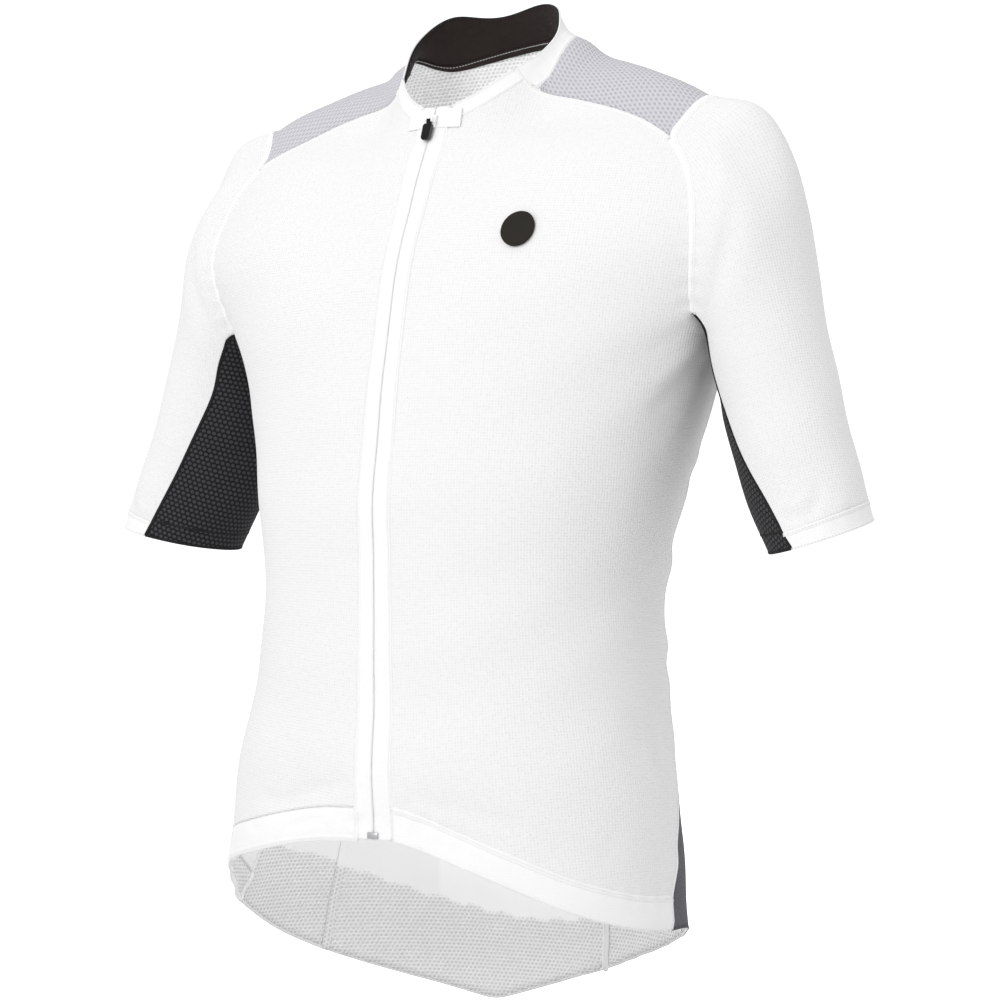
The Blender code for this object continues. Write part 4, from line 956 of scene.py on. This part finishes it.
def creaseRise(points):
    rise = np.zeros(len(points))
    for row in allCreases:
        start, run = row[:3], row[3:6] - row[:3]
        share = (points - start) @ run / (run @ run)
        inside = np.clip(share, 0, 1)
        away = np.linalg.norm(points - start - inside[:, None] * run, axis=1)
        swell = np.sin(np.pi * np.clip(share * (1 - 2 * creaseEnd["inset"]) + creaseEnd["inset"], 0, 1))
        taper = creaseEnd["share"] + (1 - creaseEnd["share"]) * swell
        rise += row[6] * taper * np.exp(-((away / row[7]) ** 2))
    return rise


def softUneven(points):  # slow waves that keep worn cloth from looking turned on a lathe
    waves = (
        ((52, 18, 31), 0.3, 0.00035),
        ((-23, 44, 66), 1.7, 0.00030),
        ((71, -35, 12), 4.1, 0.00022),
        ((-38, -61, 90), 2.6, 0.00020),
        ((15, 80, -120), 5.2, 0.00014),
    )
    return sum(size * np.sin(points @ np.array(wave, dtype=float) + start) for wave, start, size in waves)


# node, seam, height, wave length, reach
pairedPuckers = (
    ("hem_band", "hemTop", 0.0007, 0.017, 0.008),
    ("sleeve", "armholeFront", 0.0006, 0.013, 0.009),
    ("side_panel", "sideFront", 0.0013, 0.041, 0.011),
    ("side_panel", "sideBack", 0.0010, 0.034, 0.010),
    ("cuff_band", "cuffTop", 0.0004, 0.015, 0.006),
)
singlePuckers = (
    ("back_panel", "tailFoot", 0.0008, 0.019, 0.012),
    ("pocket_centre", "centreMouth", 0.0007, 0.012, 0.010),
    ("collar", "collarFoot", 0.0004, 0.012, 0.005),
)
seamLines = []
for side, word in sides:
    for part, seam, *sizes in pairedPuckers:
        seamLines.append((borderBetween(f"{part}_{word}", *onSide(seamPlaces[seam], side))[0], *sizes))
for node, seam, *sizes in singlePuckers:
    seamLines.append((borderBetween(node, *seamPlaces[seam])[0], *sizes))


def puckerRise(points):
    rise = np.zeros(len(points))
    for line, height, wave, reach in seamLines:
        low, high = line.min(axis=0) - 3 * reach, line.max(axis=0) + 3 * reach
        close = np.all((points > low) & (points < high), axis=1)
        if not close.any():
            continue
        away, along = nearLine(points[close], line)
        # not evenly spaced and not equally strong
        phase = 2 * math.pi * along / wave + 1.3 * np.sin(along * 37) + 0.8 * np.sin(along * 91 + 1)
        strength = 0.55 + 0.45 * np.sin(along * 23 + 2)
        rise[close] += height * strength * np.sin(phase) * np.exp(-((away / reach) ** 2))
    return rise


zipLip = ((0, -0.039, -0.025), (0.001, -0.103, -0.265), (0.016, -0.124, -0.532))
lipPad = {"height": 0.0010, "width": 0.0125, "groove": 0.18}  # padded lips with a groove between them
hemPad = {"height": 0.0007, "width": 0.021}
badgeRim = {"height": 0.0004, "start": 0.0112, "width": 0.0008}


def lipLine(name, side):
    start, past, end = zipLip
    return borderBetween(name, start, (past[0] * side, *past[1:]), end)


for name, entry in cloth.items():
    mesh = entry["piece"].data
    points, normals = readPoints(mesh), readNormals(mesh)
    side = 1 if name.endswith("left") else -1
    rise = creaseRise(points) + softUneven(points)
    if not name.startswith(("badge", "zip_guard")):
        rise += puckerRise(points)
    if name.startswith("zip_tape"):
        away = nearLine(points, lipLine(name, side)[0])[0]
        share = np.clip(away / lipPad["width"], 0, 1)
        rise += lipPad["height"] * np.sqrt(np.clip(share / lipPad["groove"], 0, 1)) * (1 - share**4)
    if name.startswith("hem_band"):
        top = borderBetween(name, *onSide(seamPlaces["hemTop"], side))[0]
        share = np.clip(nearLine(points, top)[0] / hemPad["width"], 0, 1)
        rise += hemPad["height"] * (1 - np.abs(2 * share - 1) ** 3)
    if name == "badge":
        away = np.linalg.norm(points - points.mean(axis=0), axis=1)
        rise += badgeRim["height"] * np.clip((away - badgeRim["start"]) / badgeRim["width"], 0, 1)
    places = points + normals * rise[:, None]
    mesh.vertices.foreach_set("co", places.reshape(-1))
    mesh.update()

# where the pocket bags back the net its holes don't show; x and z of the bags' foot
bagFoot = (
    (-0.178, -0.548), (-0.171, -0.558), (-0.158, -0.566), (-0.145, -0.5747), (-0.124, -0.583),
    (-0.1015, -0.5907), (-0.077, -0.5974), (-0.050, -0.603), (-0.019, -0.6064), (0.011, -0.6055),
    (0.036, -0.603), (0.060, -0.598), (0.120, -0.575),
)
bag = {"top": -0.405, "side": 0.125, "softness": 0.0035, "sidePocketEdge": -0.0915}


def markBags(mesh):
    x, z = readPoints(mesh)[:, 0], readPoints(mesh)[:, 2]
    foot = np.interp(x, *np.array(bagFoot).T)
    foot = foot + 0.0012 * np.sin(x * 260) + 0.0007 * np.sin(x * 710 + 1)  # not cut quite straight
    within = np.minimum(z - foot, np.minimum(bag["top"] - z, bag["side"] - x))
    reaches = {"bagReach": within, "sidePocketReach": np.minimum(within, bag["sidePocketEdge"] - x)}
    for label, reach in reaches.items():
        mesh.attributes.new(label, "FLOAT", "POINT").data.foreach_set("value", reach / bag["softness"])


for name in netLined:
    markBags(cloth[name]["piece"].data)
print("creases worked in")

# seams, bindings, turned edges and stitches

extras = {name: [] for name in cloth}
coverSeam = {"width": 0.0066, "above": 0.0010, "below": 0.0022}
lowSeam = {"width": 0.0030, "above": 0.0005, "below": 0.0018}
hemSeam = {"width": 0.0046, "above": 0.0007, "below": 0.0020}
sideSeam = {"width": 0.0024, "above": 0.0005, "below": 0.0018}
flatEdge = {"width": 0.0016, "above": 0.0002, "below": 0.0014}
turnedEdge = {"width": 0.0020, "above": 0.0004, "below": 0.0016}
outerEdge = {"width": 0.0018, "above": 0.0003, "below": 0.0007}
innerSeam = {"width": 0.0080, "above": 0.0004, "below": 0.0005, "shift": -0.0014}
innerEdge = {"width": 0.0022, "above": 0.0006, "below": 0.0007, "shift": -0.0009}
mouthBinding = {"width": 0.0090, "above": 0.0009, "below": 0.0013, "step": 0.0035}
pocketSeam = {"width": 0.0036, "above": 0.0006, "below": 0.0010, "step": 0.0035}
foldEdge = {"width": 0.0016, "above": 0.0007, "below": 0.0007, "shift": -0.0006}

# name, node, places, finish, settings
pairedSeams = (
    ("armhole_seam", "sleeve", "armhole", whiteSeam, coverSeam),
    ("underarm_seam", "gusset", "underarm", blackSeam, sideSeam),
    ("yoke_seam", "front", "yoke", narrowSeam, lowSeam),
    ("hem_seam", "hem_band", "hemTop", narrowSeam, hemSeam),
    ("side_seam_front", "side_panel", "sideFront", narrowSeam, sideSeam),
    ("side_seam_back", "side_panel", "sideBack", greySeam, lowSeam),
    ("gusset_seam_front", "gusset", "gussetFront", blackSeam, sideSeam),
    ("gusset_seam_back", "gusset", "gussetBack", blackSeam, sideSeam),
    ("cuff_seam", "cuff_band", "cuffTop", narrowSeam, lowSeam),
    ("cuff_edge", "cuff_band", "cuffFoot", narrowSeam, turnedEdge),
    ("gusset_edge", "gusset", "gussetFoot", blackSeam, turnedEdge),
    ("binding_seam", "neck_binding", "bindingFoot", narrowSeam, sideSeam),
    ("neckline_edge", "neck_binding", "neckline", narrowSeam, turnedEdge),
    ("collar_end_seam", "collar", "collarEnd", narrowSeam, sideSeam),
    ("zip_seam", "zip_tape", "zipEdge", narrowSeam, lowSeam),
    ("hem_edge", "hem_band", "hemFoot", narrowSeam, flatEdge),
    ("side_seam_inside", "side_panel", "sideBack", insideNet, innerSeam),
    ("side_hem_edge", "side_panel", "sideFoot", darkSeam, outerEdge),
    ("side_hem_inside", "side_panel", "sideFoot", paleSeam, innerEdge),
    ("pocket_side", "pocket", "pocketSide", narrowSeam, pocketSeam),
    ("pocket_mouth", "pocket", "pocketMouth", whiteSeam, mouthBinding),
    ("pocket_foot", "pocket", "pocketFoot", narrowSeam, pocketSeam),
)
singleSeams = (
    ("collar_seam", "collar", "collarFoot", narrowSeam, lowSeam),
    ("collar_edge", "collar", "collarTop", narrowSeam, foldEdge),
    ("lining_edge", "collar_lining", "liningTop", blackSeam, foldEdge),
    ("tail_edge", "back_panel", "tailFoot", greySeam, turnedEdge),
    ("pocket_divide_left", "pocket_centre", "divideLeft", narrowSeam, pocketSeam),
    ("pocket_divide_right", "pocket_centre", "divideRight", narrowSeam, pocketSeam),
    ("pocket_mouth_centre", "pocket_centre", "centreMouth", whiteSeam, mouthBinding),
    ("pocket_foot_centre", "pocket_centre", "centreFoot", narrowSeam, pocketSeam),
)
for side, word in sides:
    for name, part, seam, finish, settings in pairedSeams:
        node = part if part in cloth else f"{part}_{word}"
        places = onSide(seamPlaces[seam], side)
        if side < 0:
            places = rightPlaces.get(seam, places)
        line, normals = borderBetween(node, *places)
        strip = seamStrip(f"{name}_{word}", line, normals, finish, settings)
        if finish == insideNet:
            markBags(strip.data)
        extras[node].append(strip)
for name, node, seam, finish, settings in singleSeams:
    line, normals = borderBetween(node, *seamPlaces[seam])
    extras[node].append(seamStrip(name, line, normals, finish, settings))

# the join inside the tail, covered on the inside only
tailJoin = np.array(
    (
        (0.0514, 0.1025, -0.5900),
        (0.0514, 0.1025, -0.6063),
        (0.0508, 0.1034, -0.6172),
        (0.0493, 0.1042, -0.6304),
        (0.0483, 0.1048, -0.6500),
    )
)
joinStep = 0.004
ridgeShift = (-0.0024, 0, 0)
line, normals = ontoCloth(clothTree("back_panel"), resampled(tailJoin, *evenly(tailJoin, joinStep)))
innerTape = {"width": 0.0050, "above": 0.0006, "below": 0.0004, "shift": -0.0017}
innerRidge = {"width": 0.0014, "above": 0.0006, "below": 0.0006, "shift": -0.0019}
extras["back_panel"].append(seamStrip("tail_join_tape", line, normals, paleSeam, innerTape))
extras["back_panel"].append(seamStrip("tail_join_ridge", line + ridgeShift, normals, whiteSeam, innerRidge))

# piping and a contrast stitch line at the foot of the lining, on the side that shows
liningTape = {"width": 0.0062, "above": 0.0004, "below": 0.0005, "shift": -0.0016}
liningStitch = {"pitch": 0.0024, "length": 0.0015, "thread": 0.00055, "lift": -0.0021, "inset": 0.0012}
line, normals = borderBetween("collar_lining", *seamPlaces["liningFoot"])
short = len(line) // 9  # the ends stay free of it
line, normals = line[short:-short], normals[short:-short]
extras["collar_lining"].append(seamStrip("lining_tape", line, normals, liningCloth, liningTape))
line, normals = shiftedInto("collar_lining", line, normals, liningStitch["inset"])
extras["collar_lining"].append(stitchRow("lining_stitch", line, normals, threadWhite, liningStitch))

# twin rows of thread above the hems, and on the hem of the gussets
hemStitch = {"pitch": 0.0028, "length": 0.0020, "thread": 0.0005, "lift": 0.0001}
hemRows = (0.0075, 0.0095)
gussetHem = {"width": 0.0016, "above": 0.0004, "below": 0.0016, "inset": 0.0125}
tail = borderBetween("back_panel", *seamPlaces["tailFoot"])
for row, distance in enumerate(hemRows):
    line, normals = shiftedInto("back_panel", *tail, distance)
    extras["back_panel"].append(stitchRow(f"tail_stitch_{row + 1}", line, normals, threadWhite, hemStitch))
for side, word in sides:
    foot = borderBetween(f"gusset_{word}", *onSide(seamPlaces["gussetFoot"], side))
    line, normals = shiftedInto(f"gusset_{word}", *foot, gussetHem["inset"])
    strip = seamStrip(f"gusset_hem_{word}", line[1:-1], normals[1:-1], blackSeam, gussetHem)
    extras[f"gusset_{word}"].append(strip)
print("seams laid")

# zip: coil, slider, pull tab, stop

lipSamples = 500
coilEnds = slice(8, -6)  # the coil stops short under the slider and at the stop
coil = {"pitch": 0.00125, "width": 0.0030, "height": 0.00066, "depth": 0.0010, "offset": 0.00035}
lips = []
for side, word in sides:
    line = lipLine(f"zip_tape_{word}", side)[0]
    line = line if line[0][2] > line[-1][2] else line[::-1]
    at = np.linspace(0, 1, lipSamples)
    share = np.linspace(0, 1, len(line))
    lips.append(np.stack([np.interp(at, share, line[:, axis]) for axis in range(3)], axis=1))
middle = ((lips[0] + lips[1]) / 2)[coilEnds]
spots = resampled(middle, *evenly(middle, coil["pitch"]))
run = unit(np.gradient(spots, axis=0))
bm = bmesh.new()
for place, (spot, ahead) in enumerate(zip(spots, run)):
    beside = unit(np.cross(ahead, (0, -1, 0)))
    out = np.cross(beside, ahead)
    lean = coil["offset"] if place % 2 else -coil["offset"]
    for vertex in bmesh.ops.create_uvsphere(bm, u_segments=8, v_segments=4, radius=1)["verts"]:
        x, y, z = vertex.co
        across = beside * (z * coil["width"] / 2 + lean)
        vertex.co = spot + across + ahead * x * coil["height"] + out * (y * coil["height"] - coil["depth"])
bmesh.ops.recalc_face_normals(bm, faces=bm.faces[:])
zipCoil = newPiece("zip_coil", bm, coilNylon)


softEdges = {"flat": 0.02, "shape": 3.1, "corner": 0.5}


def softened(nodeName, name, material, width, segments=2):  # a merged copy with its edges rounded
    bm = mergedCopy(nodeName)
    flat, shape = softEdges["flat"], softEdges["shape"]
    bmesh.ops.join_triangles(bm, faces=bm.faces[:], angle_face_threshold=flat, angle_shape_threshold=shape)
    inner = [edge for edge in bm.edges if len(edge.link_faces) == 2]
    edges = [edge for edge in inner if edge.calc_face_angle() > softEdges["corner"]]
    bmesh.ops.bevel(
        bm,
        geom=edges,
        offset=width,
        offset_type="OFFSET",
        affect="EDGES",
        segments=segments,
        profile=0.5,
        material=-1,
        clamp_overlap=True,
    )
    return newPiece(name, bm, material)


zipSlider = softened("zip_slider", "zip_slider_body", sliderEnamel, 0.00030)
zipStop = softened("zip_stop", "zip_stop_clip", zipMetal, 0.00040)
pullTab = softened("pull_tab", "pull_tab_rubber", pullRubber, 0.00026, segments=3)
pullTab.data.materials.append(rubberSidePaintedSheen)
sideTurn = 0.6
for face in pullTab.data.polygons:  # the sides facing left, right and down get a greyer copy of the rubber: painted sheen of light on the tab's sides
    if abs(face.normal.x) > sideTurn or face.normal.z < -sideTurn:
        face.material_index = 1
print("zip parts made")

# thickness, riding, and hiding the frame's own pieces


for name, entry in cloth.items():
    piece = entry["piece"]
    shell = piece.modifiers.new("cloth", "SOLIDIFY")
    shell.thickness = entry["settings"]["thick"]
    shell.offset = -1
    shell.material_offset = entry.get("inside", 0)
    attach(piece, "jersey")
    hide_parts(name)
    for extra in extras[name]:
        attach(extra, "jersey")
for piece, node, body, slot in (
    (zipSlider, "zip_slider", "jersey", "zip_metal"),
    (zipStop, "zip_stop", "jersey", "zip_metal"),
    (pullTab, "pull_tab", "pull_tab", "pull_rubber"),
):
    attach(piece, body)
    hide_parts(node)
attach(zipCoil, "jersey")

for name, entry in cloth.items():
    if name == "badge":
        continue

# floor, lights and camera

floorSizes = {"drop": 0.30, "radius": 60.0, "tone": 0.78}
skySizes = {"cast": 0.87, "seen": 1.25}
keyLamp = {"place": (-0.1, -3.0, 1.35), "aim": (0, 0, -0.3), "size": 1.8, "energy": 34.0}
hollowLamps = {  # they open up the hollow
    "neck_light": {"place": (0.0, 0.0, -0.13), "energy": 0.30},
    "tail_light": {"place": (-0.03, 0.0, -0.43), "energy": 0.24},
}
hollowLampSize = 0.03
view = {"place": (1.596, -2.128, -0.326), "lens": 135.1, "sensor": 36, "shift": (0.035, 0.037)}

bm = bmesh.new()
bmesh.ops.create_circle(bm, cap_ends=True, cap_tris=False, segments=96, radius=floorSizes["radius"])
bmesh.ops.translate(bm, verts=bm.verts[:], vec=(0, 0, cadBox[0][2] - floorSizes["drop"]))
floorPaper = Finish("floorPaper", grey(floorSizes["tone"]), 0.95, gloss=0.0)
paperTone = floorPaper.place(clothTone, floorPaper.objectMap(), Amount=0.01)
floorPaper.shadeBy(paperTone.outputs["Tone"])
seen = floorPaper.tree.nodes.new("ShaderNodeLightPath")  # white paper without a strong bounce from below
floorPaper.tree.links.new(seen.outputs["Is Camera Ray"], floorPaper.shader.inputs["Emission Color"])
floorPaper.shader.inputs["Emission Strength"].default_value = 1.0
floor = newPiece("studio_floor", bm, floorPaper.done())
floor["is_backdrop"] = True

world = bpy.data.worlds.new("whiteStudio")
bpy.context.scene.world = world
world.use_nodes = True
sky = world.node_tree.nodes["Background"]
sky.inputs["Color"].default_value = (1, 1, 1, 1)
lightPath = world.node_tree.nodes.new("ShaderNodeLightPath")  # the backdrop is whiter than what it casts
skyStrength = world.node_tree.nodes.new("ShaderNodeMapRange")
world.node_tree.links.new(lightPath.outputs["Is Camera Ray"], skyStrength.inputs["Value"])
skyStrength.inputs["To Min"].default_value = skySizes["cast"]
skyStrength.inputs["To Max"].default_value = skySizes["seen"]
world.node_tree.links.new(skyStrength.outputs["Result"], sky.inputs["Strength"])


def newLamp(name, kind, place, energy):
    lamp = bpy.data.lights.new(name, kind)
    lamp.energy = energy
    holder = bpy.data.objects.new(name, lamp)
    bpy.context.scene.collection.objects.link(holder)
    holder.location = place
    return holder


key = newLamp("key_light", "AREA", keyLamp["place"], keyLamp["energy"])
key.data.shape = "DISK"
key.data.size = keyLamp["size"]
aim = Vector(keyLamp["aim"]) - Vector(keyLamp["place"])
key.rotation_euler = aim.to_track_quat("-Z", "Y").to_euler()
for name, settings in hollowLamps.items():
    lamp = newLamp(name, "POINT", settings["place"], settings["energy"])
    lamp.data.shadow_soft_size = hollowLampSize
    lamp.visible_camera = False

lens = bpy.data.cameras.new("camera")
lens.lens = view["lens"]
lens.sensor_width = view["sensor"]
lens.shift_x, lens.shift_y = view["shift"]
camera = bpy.data.objects.new("camera", lens)
bpy.context.scene.collection.objects.link(camera)
camera.location = view["place"]
camera.rotation_euler = (math.radians(90), 0, math.atan2(view["place"][0], -view["place"][1]))
bpy.context.scene.camera = camera
bpy.context.scene.view_settings.view_transform = "Standard"

sizes = {"cad": [list(corner) for corner in cadBox], "visual": [list(corner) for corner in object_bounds()]}
print("sizes", sizes)
